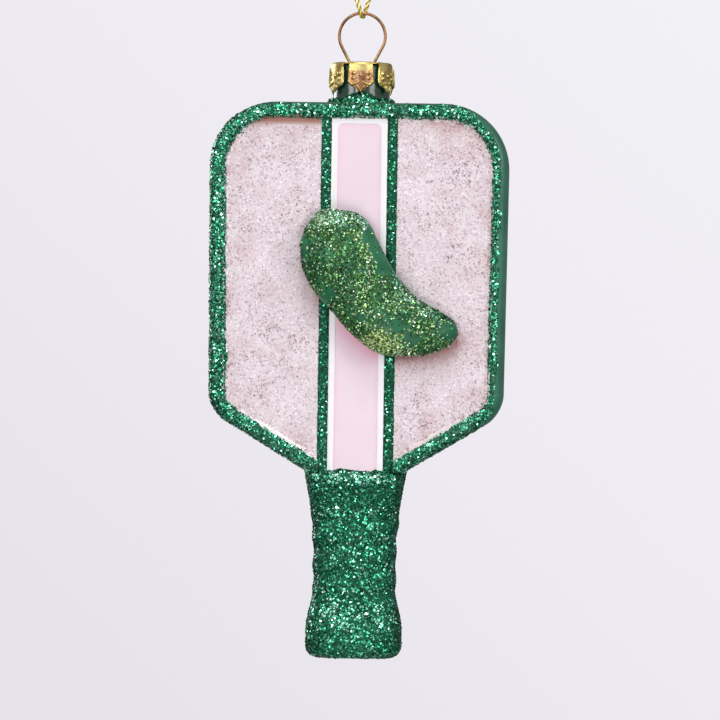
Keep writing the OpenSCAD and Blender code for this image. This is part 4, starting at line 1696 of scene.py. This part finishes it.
@dataclass
class Pickle:
    """The pickle: a curved, warty form, flat at the back, painted and patchily covered in glitter."""

    head_z: float
    length: float = 34.0
    width: float = 16.4
    height: float = 7.5
    wart_h: float = 0.45
    fattest: float = 0.36
    blunt: float = 0.256
    drawn_out: float = 0.45
    centre_x: float = 1.2
    drop: float = 36.0
    seat_y: float = 8.65
    # The points that bend the spine, as shares of the length
    spine: tuple[tuple[float, float], ...] = (
        (-0.165, 0.424), (-0.194, 0.082), (0.062, -0.359), (0.553, -0.265))
    # Lumps and hollows on the outside of the curve: place along it, share of the width, spread
    lumps: tuple[tuple[float, float, float], ...] = (
        (0.03, -0.17, 0.06), (0.24, 0.07, 0.08), (0.48, -0.12, 0.09), (0.71, 0.09, 0.06))
    # Layers of warts: share of their height, how close they lie along and round the pickle, and a shift
    warts: tuple[tuple[float, float, float, float], ...] = (
        (1.0, 9.0, 5.0, 1.3), (0.5, 20.0, 11.0, 4.7), (0.3, 34.0, 18.0, 8.2))
    # Patches of bare paint: x, drop below the top of the head, reach across and down
    bare: tuple[tuple[float, float, float, float], ...] = (
        (-5.8, 38.6, 1.6, 2.6), (7.2, 44.6, 3.4, 1.7), (11.5, 47.0, 2.6, 1.2), (18.2, 45.2, 2.4, 2.4),
        (1.2, 43.0, 1.3, 1.0), (-10.4, 29.0, 0.9, 2.2))
    # The patch of brightest lime, in the same way
    lime: tuple[float, float, float, float] = (4.6, 47.6, 3.6, 2.2)
    # Reach of the pickle's painted shadow, in millimetres
    glow_reach: float = 2.1

    def spine_at(self, t: float) -> tuple[np.ndarray, np.ndarray]:
        """Give the spine's place and direction.

        Args:
            t: From 0 at the blunt end to 1 at the tip.

        Returns:
            The place and the unit direction, in x and z.
        """
        p = [np.array(q) * self.length for q in self.spine]
        a = 1 - t
        place = a ** 3 * p[0] + 3 * a * a * t * p[1] + 3 * a * t * t * p[2] + t ** 3 * p[3]
        along = a * a * (p[1] - p[0]) + 2 * a * t * (p[2] - p[1]) + t * t * (p[3] - p[2])
        return place + np.array([self.centre_x, self.head_z - self.drop]), along / np.linalg.norm(along)

    def section(self, t: float, sides: int) -> np.ndarray:
        """Work out one section across the spine.

        Args:
            t: Place along the spine.
            sides: Number of steps round it.

        Returns:
            The section's points.
        """
        centre, along = self.spine_at(t)
        swell = (t / self.fattest) ** self.blunt * ((1 - t) / (1 - self.fattest)) ** self.drawn_out
        bulge = 0.92 + sum(high * math.exp(-((t - at) / spread) ** 2) for at, high, spread in self.lumps)
        inner, outer = self.width / 2 * swell, self.width / 2 * swell * bulge
        share = (inner + outer) / self.width
        high = self.height * share ** 0.8
        mid, up = 0.36 * high, 0.64 * high
        start = math.asin(mid / up)
        points = []
        for k in range(sides + 1):
            u = k / sides
            a = -start + (math.pi + 2 * start) * u
            wart = sum(tall * noise.noise(Vector((close * t, beside * u, shift)))
                       for tall, close, beside, shift in self.warts)
            wart *= self.wart_h * math.sin(math.pi * u) * share
            x = ((inner if math.cos(a) > 0 else outer) + wart) * math.cos(a)
            y = max(mid + (up + wart) * math.sin(a), 0.0)
            points.append((centre[0] - x * along[1], -self.seat_y - y, centre[1] + x * along[0]))
        return np.array(points)

    def patch(self, spots: np.ndarray, x: float, drop: float, wide: float, tall: float) -> np.ndarray:
        """Give how far each place lies in an oval patch of the pickle's front."""
        far = ((spots[:, 0] - x) / wide) ** 2 + ((spots[:, 2] - self.head_z + drop) / tall) ** 2
        return np.exp(-far ** 2)

    def cover(self, spots: np.ndarray, facing: np.ndarray) -> np.ndarray:
        """Say where glitter sticks: on the raised front, off the bare patches and the inner edge.

        Args:
            spots: Places in millimetres.
            facing: The pickle's normals there.

        Returns:
            Each place's chance of a flake.
        """
        chance = np.clip(0.75 + clouds(spots, 3.0, 2.0) * 0.7 + clouds(spots, 1.2, 6.0) * 0.3, 0.1, 1)
        chance *= np.clip((-facing[:, 1] - 0.08) / 0.3, 0, 1)
        chance *= np.where((facing[:, 0] > 0.45) & (spots[:, 0] < 9), 0.04, 1)
        for bare in self.bare:
            chance *= 1 - 0.97 * self.patch(spots, *bare)
        return chance

    def glow(self, spots: np.ndarray) -> np.ndarray:
        """Say how much pink shadow to paint on the pale panel round the pickle, mostly below it.

        Args:
            spots: Places in millimetres.

        Returns:
            Painted shade from 0 to 1.
        """
        steps = np.linspace(0.02, 0.98, 40)
        edges = np.array([self.section(t, 40)[:, [0, 2]][[8, 32]] for t in steps])
        middle = edges.mean(1)
        reach = np.linalg.norm(edges[:, 0] - edges[:, 1], axis=1) / 2
        away = spots[:, None, [0, 2]] - middle[None]
        far = np.linalg.norm(away, axis=2) - reach[None]
        near = far.argmin(1)
        rows = np.arange(len(spots))
        level = away[rows, near, 1] / np.linalg.norm(away[rows, near], axis=1)
        fade = np.exp(-(np.clip(far[rows, near], 0, None) / self.glow_reach) ** 1.2)
        return np.clip(-0.1 - 1.2 * level, 0.03, 0.9) * fade

    def lime_cover(self, spots: np.ndarray, facing: np.ndarray) -> np.ndarray:
        """Say where the brightest lime lies: along the lower edge of the bend."""
        return self.patch(spots, *self.lime) * np.clip(-facing[:, 1] * 4, 0, 1)

    def mint_cover(self, spots: np.ndarray, facing: np.ndarray) -> np.ndarray:
        """Say where mint flakes lie, partly mint glitter and partly painted highlights from above: on the
        top end and along the tip's upper edge where it faces up.

        Args:
            spots: Places in millimetres.
            facing: The pickle's normals there.

        Returns:
            Each place's chance of a flake.
        """
        top = np.clip((spots[:, 2] - self.head_z + 26) / 2, 0, 1)
        tip = np.clip((spots[:, 0] - 6.5) / 2, 0, 1) * np.clip((17 - spots[:, 0]) / 2, 0, 1)
        lit = np.clip((facing[:, 2] - 0.15) / 0.2, 0, 1)
        return np.maximum(top, 0.45 * tip * lit) * np.clip((-facing[:, 1] - 0.3) * 4, 0, 1)

    def build(self) -> None:
        """Build the pickle and let it ride."""
        steps = [0.5 - 0.4995 * math.cos(math.pi * i / 80) for i in range(81)]
        body = loft("pickle_body", [self.section(t, 60) for t in steps])
        smooth(body, 60)
        dress(body, PICKLE_PAINT)
        layers = []
        for finish, spread, cover in (
                (LIME_FLAKES, FlakeSpread(
                    9000, across=0.36, tilt=26, seed=71, lift=0.12, vary=0.35, drift=0.4), self.cover),
                (WHITE_LIME_FLAKES, FlakeSpread(
                    650, across=0.34, tilt=26, seed=74, lift=0.2), self.cover),
                (BRIGHT_LIME_FLAKES, FlakeSpread(
                    600, across=0.32, tilt=24, seed=72, lift=0.15), self.lime_cover),
                (MINT_FLAKES, FlakeSpread(
                    850, across=0.36, tilt=24, seed=73, lift=0.15), self.mint_cover)):
            flakes = spread.scatter(body, finish.name, cover)
            dress(flakes, finish)
            layers.append(flakes)
        settle(joined("pickle_visual", body, *layers), Body.PADDLE, "pickle_resin", "pickle")
        dress(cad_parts["pickle_glue"], CLEAR_GLUE)


# The hanging parts


def resample(points: Sequence[Sequence[float]], step: float) -> np.ndarray:
    """Draw a smooth curve through points.

    Args:
        points: Places in millimetres.
        step: Distance between the new places.

    Returns:
        Evenly spaced places along the curve.
    """
    p = np.array(points, float)
    p = np.vstack([2 * p[0] - p[1], p, 2 * p[-1] - p[-2]])
    t = np.linspace(0, 1, 40, endpoint=False)[:, None]
    dense = []
    for a, b, c, d in zip(p, p[1:], p[2:], p[3:]):
        dense.append(0.5 * (2 * b + (c - a) * t + (2 * a - 5 * b + 4 * c - d) * t ** 2
                            + (3 * b - a - 3 * c + d) * t ** 3))
    dense = np.vstack(dense + [p[-2:-1]])
    run = np.concatenate([[0], np.cumsum(np.linalg.norm(np.diff(dense, axis=0), axis=1))])
    marks = np.linspace(0, run[-1], max(4, int(run[-1] / step)))
    return np.stack([np.interp(marks, run, dense[:, k]) for k in range(3)], axis=1)


def swept(name: str, path: np.ndarray, radius: Callable[[float, float], float],
          sides: int) -> Piece:
    """Extrude a section along a path.

    Args:
        name: The piece's name.
        path: Evenly spaced places in millimetres.
        radius: Takes the distance along the path and the angle round it.
        sides: Number of points round the section.

    Returns:
        The closed piece.
    """
    along = np.gradient(path, axis=0)
    along /= np.linalg.norm(along, axis=1)[:, None]
    up = np.array([0.0, 1.0, 0.2])
    angles = [2 * math.pi * k / sides for k in range(sides)]
    run = 0.0
    rings = []
    for i, place in enumerate(path):
        if i:
            run += float(np.linalg.norm(place - path[i - 1]))
        up = up - along[i] * (up @ along[i])
        up /= np.linalg.norm(up)
        side = np.cross(along[i], up)
        rings.append(np.array([
            place + radius(run, a) * (math.cos(a) * up + math.sin(a) * side) for a in angles]))
    return loft(name, rings)


@dataclass
class Hanger:
    """The hanging parts: stamped leaf cap, spring-wire eye, and twisted cord with its knot."""

    cap_r: float = 6.2
    cap_h: float = 5.7
    cap_flare: float = 0.35
    cap_sheet: float = 0.3
    cap_round: float = 0.4
    # Where the hand-folded tabs point, in degrees from the front
    tab_turns: tuple[float, ...] = (0.0, 57.0, 120.0, 180.0, 240.0, 303.0)
    wire_d: float = 0.6
    eye_r: float = 4.6
    leg_x: float = 2.3
    leg_l: float = 14.0
    # Where the eye passes into the legs, in degrees below its middle
    leave: float = -27.2
    cord_d: float = 1.0
    cord_pitch: float = 4.0
    # Half of the cord's route, from under the wire up to the knot, and its pinch round the wire
    cord_half: tuple[tuple[float, float, float], ...] = (
        (0, 0, -22.74), (-0.26, -0.5, -22.56), (-0.46, -0.75, -21.95), (-0.62, -0.78, -21.2),
        (-0.85, -0.68, -20.4), (-1.15, -0.5, -19.4), (-2, -0.35, -17.2), (-3.2, -0.2, -14.4),
        (-4.4, 0, -11.4), (-5.2, 0, -8.4), (-5.3, 0, -5.4), (-4.5, 0, -2.6), (-3, 0, -0.6), (-1.4, 0, 0.6),
        (-0.5, 0, 1.2))
    pinch: tuple[tuple[float, float], ...] = (
        (0, 0.82), (0.57, 0.84), (1.18, 0.86), (1.95, 0.92), (3.5, 1.0))
    # Half a leaf tab's outline, and the ridges and dots stamped on it: distance across and down
    leaf_edge: tuple[tuple[float, float], ...] = (
        (2.3, 0.0), (2.45, 1.5), (2.62, 3.2), (2.6, 3.9), (2.3, 4.5), (1.75, 4.8), (1.2, 4.95), (0.9, 5.3),
        (0.5, 5.75), (0.08, 6.0))
    leaf_ridges: tuple[tuple[float, float, float, float], ...] = (
        (2.25, 1.2, 2.36, 3.8), (2.36, 3.8, 1.7, 4.5), (1.7, 4.5, 0.45, 4.0), (0.72, 4.75, 0.0, 5.7))
    leaf_dots: tuple[tuple[float, float], ...] = ((1.4, 2.2), (1.4, 3.2), (0.0, 2.6))
    ridge_h: float = 0.3
    dot_h: float = 0.32
    # The wire's slots: how far their middles lie outside the legs, and their length and width
    slot_out: float = 0.43
    slot_l: float = 1.86
    slot_w: float = 1.0
    cap_z: float = field(init=False)
    eye_z: float = field(init=False)

    def __post_init__(self) -> None:
        """Read the heights off the frame."""
        self.cap_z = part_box("cap")[1].z / MM
        self.eye_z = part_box("hanger_wire")[1].z / MM - self.wire_d / 2 - self.eye_r

    def strand(self, run: float, angle: float) -> float:
        """Give the cord's radius where three strands wind round each other."""
        turn = 3 * (angle - 2 * math.pi * run / self.cord_pitch)
        return self.cord_d / 2 * (0.86 + 0.14 * math.cos(turn))

    def cord(self) -> None:
        left = list(reversed(self.cord_half))
        right = [(-x, -y, z) for x, y, z in self.cord_half[1:]]
        path = resample(left + right, 0.14)
        run = float(np.linalg.norm(np.diff(path, axis=0), axis=1).sum())
        reach, share = zip(*self.pinch)
        piece = swept("hanging_cord_visual", path, lambda at, angle: self.strand(at, angle)
                      * float(np.interp(abs(at - run / 2), reach, share)), 18)
        self.mark_crests(piece, path)
        smooth(piece, 80)
        dress(piece, GOLD_CORD)
        settle(piece, Body.CORD, "gold_cord", "hanging_cord")
        self.knot()

    def mark_crests(self, piece: Piece, path: np.ndarray) -> None:
        """Note how far each point of a cord stands out of its grooves, which sets its painted shade and
        highlights.

        Args:
            piece: The cord.
            path: Its centre line in millimetres.
        """
        gaps = np.array([np.sqrt(((path - p) ** 2).sum(1).min()) for p in points_of(piece)])
        mark(piece, "crest", np.clip((gaps / self.cord_d - 0.36) / 0.14, 0, 1))

    def knot(self) -> Piece:
        """Tie the overhand knot with its two tails.

        Returns:
            The knot.
        """
        turns = []
        for i in range(61):
            a = 2 * math.pi * i / 60
            turns.append((0.34 * (math.sin(a) + 2 * math.sin(2 * a)), 0.5 * math.sin(3 * a),
                          1.2 + 0.275 * (math.cos(a) - 2 * math.cos(2 * a))))
        routes = [turns]
        for side in (-1, 1):
            routes.append([(0.2 * side, 0, 1.4), (0.9 * side, 0.1, 2.8), (1.5 * side, 0.2, 4.3),
                           (2.2 * side, 0.1, 5.6)])
        lengths = []
        for number, route in enumerate(routes):
            path = resample(route, 0.14)
            thick = 0.84 if number else 1.0
            length = swept("cord_end", path, lambda run, a: thick * self.strand(run, a), 12)
            self.mark_crests(length, path)
            lengths.append(length)
        whole = joined("cord_knot_visual", *lengths)
        smooth(whole, 80)
        dress(whole, GOLD_CORD)
        settle(whole, Body.CORD, "gold_cord", "cord_knot")
        return whole

    def wire(self) -> None:
        """Bend the spring wire: leg, eye and leg."""
        a = math.radians(self.leave)
        x, top = self.leg_x, self.cap_z
        right = [(x + 1.2, 0, top - self.leg_l), (x + 0.6, 0, top - 7), (x + 0.2, 0, top - 2.4),
                 (x + 0.06, 0, top - 0.75), (x + 0.12, 0, top + 0.2), (x + 0.55, 0, top + 1.1)]
        arc = []
        for i in range(25):
            b = a + (math.pi - 2 * a) * i / 24
            arc.append((self.eye_r * math.cos(b), 0, self.eye_z + self.eye_r * math.sin(b)))
        left = [(-x, y, z) for x, y, z in reversed(right)]
        path = resample(right + arc + left, 0.25)
        piece = swept("hanger_wire_visual", path, lambda run, angle: self.wire_d / 2, 16)
        up = points_of(piece)[:, 2] - top
        mark(piece, "patina", [ease((z - 0.8) / 2.2) for z in up])
        smooth(piece, 60)
        dress(piece, WIRE_BRASS)
        settle(piece, Body.HANGER, "wire_brass", "hanger_wire")

    def leaf(self) -> Piece:
        """Stamp one leaf tab: a sheet cut to the leaf, embossed, and folded down over the rounded edge.

        Returns:
            The front tab, coppery but for its top and its ridges.
        """
        deselect()
        bpy.ops.mesh.primitive_grid_add(x_subdivisions=52, y_subdivisions=72, size=2 * MM)
        piece = bpy.context.object
        wide, rows = zip(*self.leaf_edge)
        fold = self.cap_round * math.pi / 2
        slit = fold + rows[-1] - self.cap_round
        copper = []
        for vert in piece.data.vertices:
            run = slit * (1 - vert.co.y / MM) / 2
            if run < fold:
                a = run / self.cap_round
                radius = self.cap_r - self.cap_round + self.cap_round * math.sin(a)
                down = self.cap_round * (1 - math.cos(a))
            else:
                down = self.cap_round + run - fold
                radius = self.cap_r + self.cap_flare * down / self.cap_h
            x = vert.co.x / MM * float(np.interp(down, rows, wide))
            raised = self.emboss(abs(x), down)
            # The front tab is tinted copper, less at its top and on its raised ridges and dots
            copper.append(ease((down - 0.9) / 1.6) * (1 - 0.8 * raised / self.dot_h))
            radius += raised - self.cap_sheet / 2
            turn = x / self.cap_r
            vert.co = Vector((radius * math.sin(turn), -radius * math.cos(turn), self.cap_z - down)) * MM
        mark(piece, "patina", copper)
        modify(piece, "SOLIDIFY", thickness=self.cap_sheet * 0.8 * MM, offset=0.0)
        return piece

    def emboss(self, across: float, down: float) -> float:
        """Give the height of the stamped pattern on a tab.

        Args:
            across: Distance from the tab's middle line.
            down: Distance below the cap's top.

        Returns:
            Height in millimetres.
        """
        spot = np.array([across, down])
        high = 0.0
        for x0, z0, x1, z1 in self.leaf_ridges:
            start, along = np.array([x0, z0]), np.array([x1 - x0, z1 - z0])
            t = min(max((spot - start) @ along / (along @ along), 0.0), 1.0)
            far = np.linalg.norm(spot - start - along * t)
            high = max(high, self.ridge_h * math.exp(-(far / 0.17) ** 2))
        for x, z in self.leaf_dots:
            high = max(high, self.dot_h * math.exp(-(np.linalg.norm(spot - (x, z)) / 0.27) ** 2))
        return high * ease((down - 0.6) / 0.6)

    def cap(self) -> None:
        """Stamp the cap: a slotted disc and six leaf tabs folded down from it."""
        rim = self.cap_r - self.cap_round
        low = self.cap_z - self.cap_sheet
        disc = turned("cap_disc", (
            (rim - 0.25, low), (rim - 0.2, low + 0.05), (rim - 0.2, self.cap_z - 0.05),
            (rim - 0.25, self.cap_z)), 96)
        for side in (-1, 1):
            deselect()
            place = (side * (self.leg_x + self.slot_out) * MM, 0, self.cap_z * MM)
            bpy.ops.mesh.primitive_cube_add(size=1, location=place)
            slot = bpy.context.object
            slot.scale = (self.slot_l * MM, self.slot_w * MM, 2 * MM)
            bpy.ops.object.transform_apply(location=True, scale=True)
            modify(disc, "BOOLEAN", object=slot, operation="DIFFERENCE", solver="EXACT")
            bpy.data.meshes.remove(slot.data)
        first = self.leaf()
        tabs = [first]
        for turn in self.tab_turns[1:]:
            tab = copy_of(first, "cap_tab")
            with editing(tab):
                bpy.ops.mesh.select_all(action="SELECT")
                bpy.ops.transform.rotate(
                    value=math.radians(turn), orient_axis="Z", center_override=(0, 0, 0))
            mark(tab, "patina", np.zeros(len(tab.data.vertices)))
            tabs.append(tab)
        whole = joined("cap_visual", disc, *tabs)
        with editing(whole):
            bpy.ops.mesh.select_all(action="SELECT")
            bpy.ops.mesh.normals_make_consistent(inside=False)
        smooth(whole, 50)
        dress(whole, CAP_BRASS)
        settle(whole, Body.CAP, "cap_brass", "cap")

    def build(self) -> None:
        """Build the hanging parts, cord first."""
        self.cord()
        self.wire()
        self.cap()


# The studio


@dataclass(frozen=True)
class Lamp:
    """One soft lamp aimed at the ornament."""

    name: str
    place: tuple[float, float, float]
    size: float
    power: float
    colour: str = "#ffffff"

    def build(self, target: Vector) -> None:
        """Hang the lamp and aim it.

        Args:
            target: What it points at.
        """
        data = bpy.data.lights.new(self.name, "AREA")
        data.shape = "DISK"
        data.size = self.size
        data.energy = self.power
        data.color = linear(self.colour)[:3]
        lamp = bpy.data.objects.new(self.name, data)
        lamp.location = Vector(self.place)
        lamp.rotation_euler = (target - lamp.location).to_track_quat("-Z", "Y").to_euler()
        bpy.context.collection.objects.link(lamp)


@dataclass
class Studio:
    """A pale studio: camera, soft lamps, a pale backdrop behind and a dimmer room in front, and a floor."""

    field_mm: float = 144.0
    distance: float = 0.8
    azimuth: float = 1.5
    roll: float = 0.85
    aim: tuple[float, float, float] = (0.5, 0.0, -91.35)
    backdrop: tuple[str, str, str] = ("#e7e2e9", "#eeebf2", "#f3f2f6")
    floor_r: float = 350.0
    floor_z: float = -450.0
    lamps: tuple[Lamp, ...] = (
        Lamp("key", (0.9, -0.85, 0.35), 0.5, 3.1),
        Lamp("fill", (-0.8, -0.9, 0.3), 0.45, 3.0),
        Lamp("top", (0.0, -0.6, 0.9), 0.3, 2.9),
        Lamp("low", (0.05, -1.0, -0.5), 0.5, 3.0),
        Lamp("spark_left", (-0.3, -0.9, 0.15), 0.1, 0.5),
        Lamp("spark_top", (0.05, -0.8, 0.6), 0.1, 0.5),
        Lamp("spark_right", (0.5, -0.9, 0.05), 0.1, 0.5),
        Lamp("back", (-0.7, 0.7, 0.15), 0.5, 2.5),
    )

    def camera(self) -> None:
        """Stand the camera level in front, with the photograph's field and roll."""
        data = bpy.data.cameras.new("camera")
        data.sensor_width = 36.0
        data.lens = 36.0 * self.distance / (self.field_mm * MM)
        data.clip_end = 10.0
        camera = bpy.data.objects.new("camera", data)
        target = Vector(self.aim) * MM
        a = math.radians(self.azimuth)
        camera.location = target + self.distance * Vector((math.sin(a), -math.cos(a), 0))
        camera.rotation_mode = "QUATERNION"
        look = (target - camera.location).to_track_quat("-Z", "Y")
        camera.rotation_quaternion = look @ Quaternion((0, 0, 1), math.radians(self.roll))
        bpy.context.collection.objects.link(camera)
        bpy.context.scene.camera = camera

    def world(self) -> None:
        """Fill the world with soft light, and show the backdrop to the camera and behind in gloss."""
        world = bpy.data.worlds.new("pale_studio")
        world.use_nodes = True
        tree = world.node_tree
        tree.nodes.clear()
        place = add_node(tree, "TexCoord")
        parts = add_node(tree, "SeparateXYZ", {"Vector": place.outputs["Generated"]})
        slant = add_node(tree, "Math", {
            0: parts.outputs["X"], 1: 0.9, 2: parts.outputs["Z"]}, operation="MULTIPLY_ADD")
        across = add_node(tree, "MapRange", {
            "Value": slant.outputs[0], "From Min": -0.17, "From Max": 0.17})
        shown = add_node(tree, "ValToRGB", {"Fac": across.outputs["Result"]},
                         spaced(self.backdrop))
        soft = add_node(tree, "MapRange", {
            "Value": parts.outputs["Z"], "From Min": -1.0, "To Min": 0.4, "To Max": 0.47})
        behind = add_node(tree, "MapRange", {
            "Value": parts.outputs["Y"], "From Min": 0.2, "From Max": 0.9,
            "To Min": soft.outputs["Result"], "To Max": 0.95})
        room = add_node(tree, "MapRange", {
            "Value": parts.outputs["Z"], "From Min": -0.6, "From Max": 0.9, "To Min": 0.1, "To Max": 1.1})
        gloss = add_node(tree, "MapRange", {
            "Value": parts.outputs["Y"], "From Min": -0.3, "From Max": 0.8,
            "To Min": room.outputs["Result"], "To Max": 0.2})
        rays = add_node(tree, "LightPath")
        lit = add_node(tree, "Mix", {
            0: rays.outputs["Is Glossy Ray"], 2: behind.outputs["Result"], 3: gloss.outputs["Result"]})
        seen = add_node(tree, "Math", {
            0: rays.outputs["Is Camera Ray"], 1: rays.outputs["Is Transmission Ray"]}, operation="MAXIMUM")
        strength = add_node(tree, "Mix", {0: seen.outputs[0], 2: lit.outputs[0], 3: 1.0})
        back = add_node(tree, "Background", {
            "Color": shown.outputs["Color"], "Strength": strength.outputs[0]})
        out = add_node(tree, "OutputWorld")
        tree.links.new(back.outputs[0], out.inputs["Surface"])
        bpy.context.scene.world = world

    def floor(self) -> None:
        """Lay a pale round floor well below the ornament."""
        r, z = self.floor_r, self.floor_z
        floor = turned("studio_floor", ((r - 5, z - 10), (r, z - 9), (r, z - 1), (r - 5, z)), 96)
        dress(floor, PALE_FLOOR)

    def build(self) -> None:
        """Set up the studio."""
        self.camera()
        self.world()
        self.floor()
        for lamp in self.lamps:
            lamp.build(Vector(self.aim) * MM)
        bpy.context.scene.view_settings.view_transform = "Standard"


def main() -> None:
    """Build the studio, the hanging parts, the paddle and the pickle."""
    logging.basicConfig(level=logging.INFO, format="%(message)s")
    Studio().build()
    Hanger().build()
    paddle = Paddle()
    pickle = Pickle(paddle.head_z)
    paddle.build(pickle.glow)
    pickle.build()


if __name__ == "__main__":
    main()
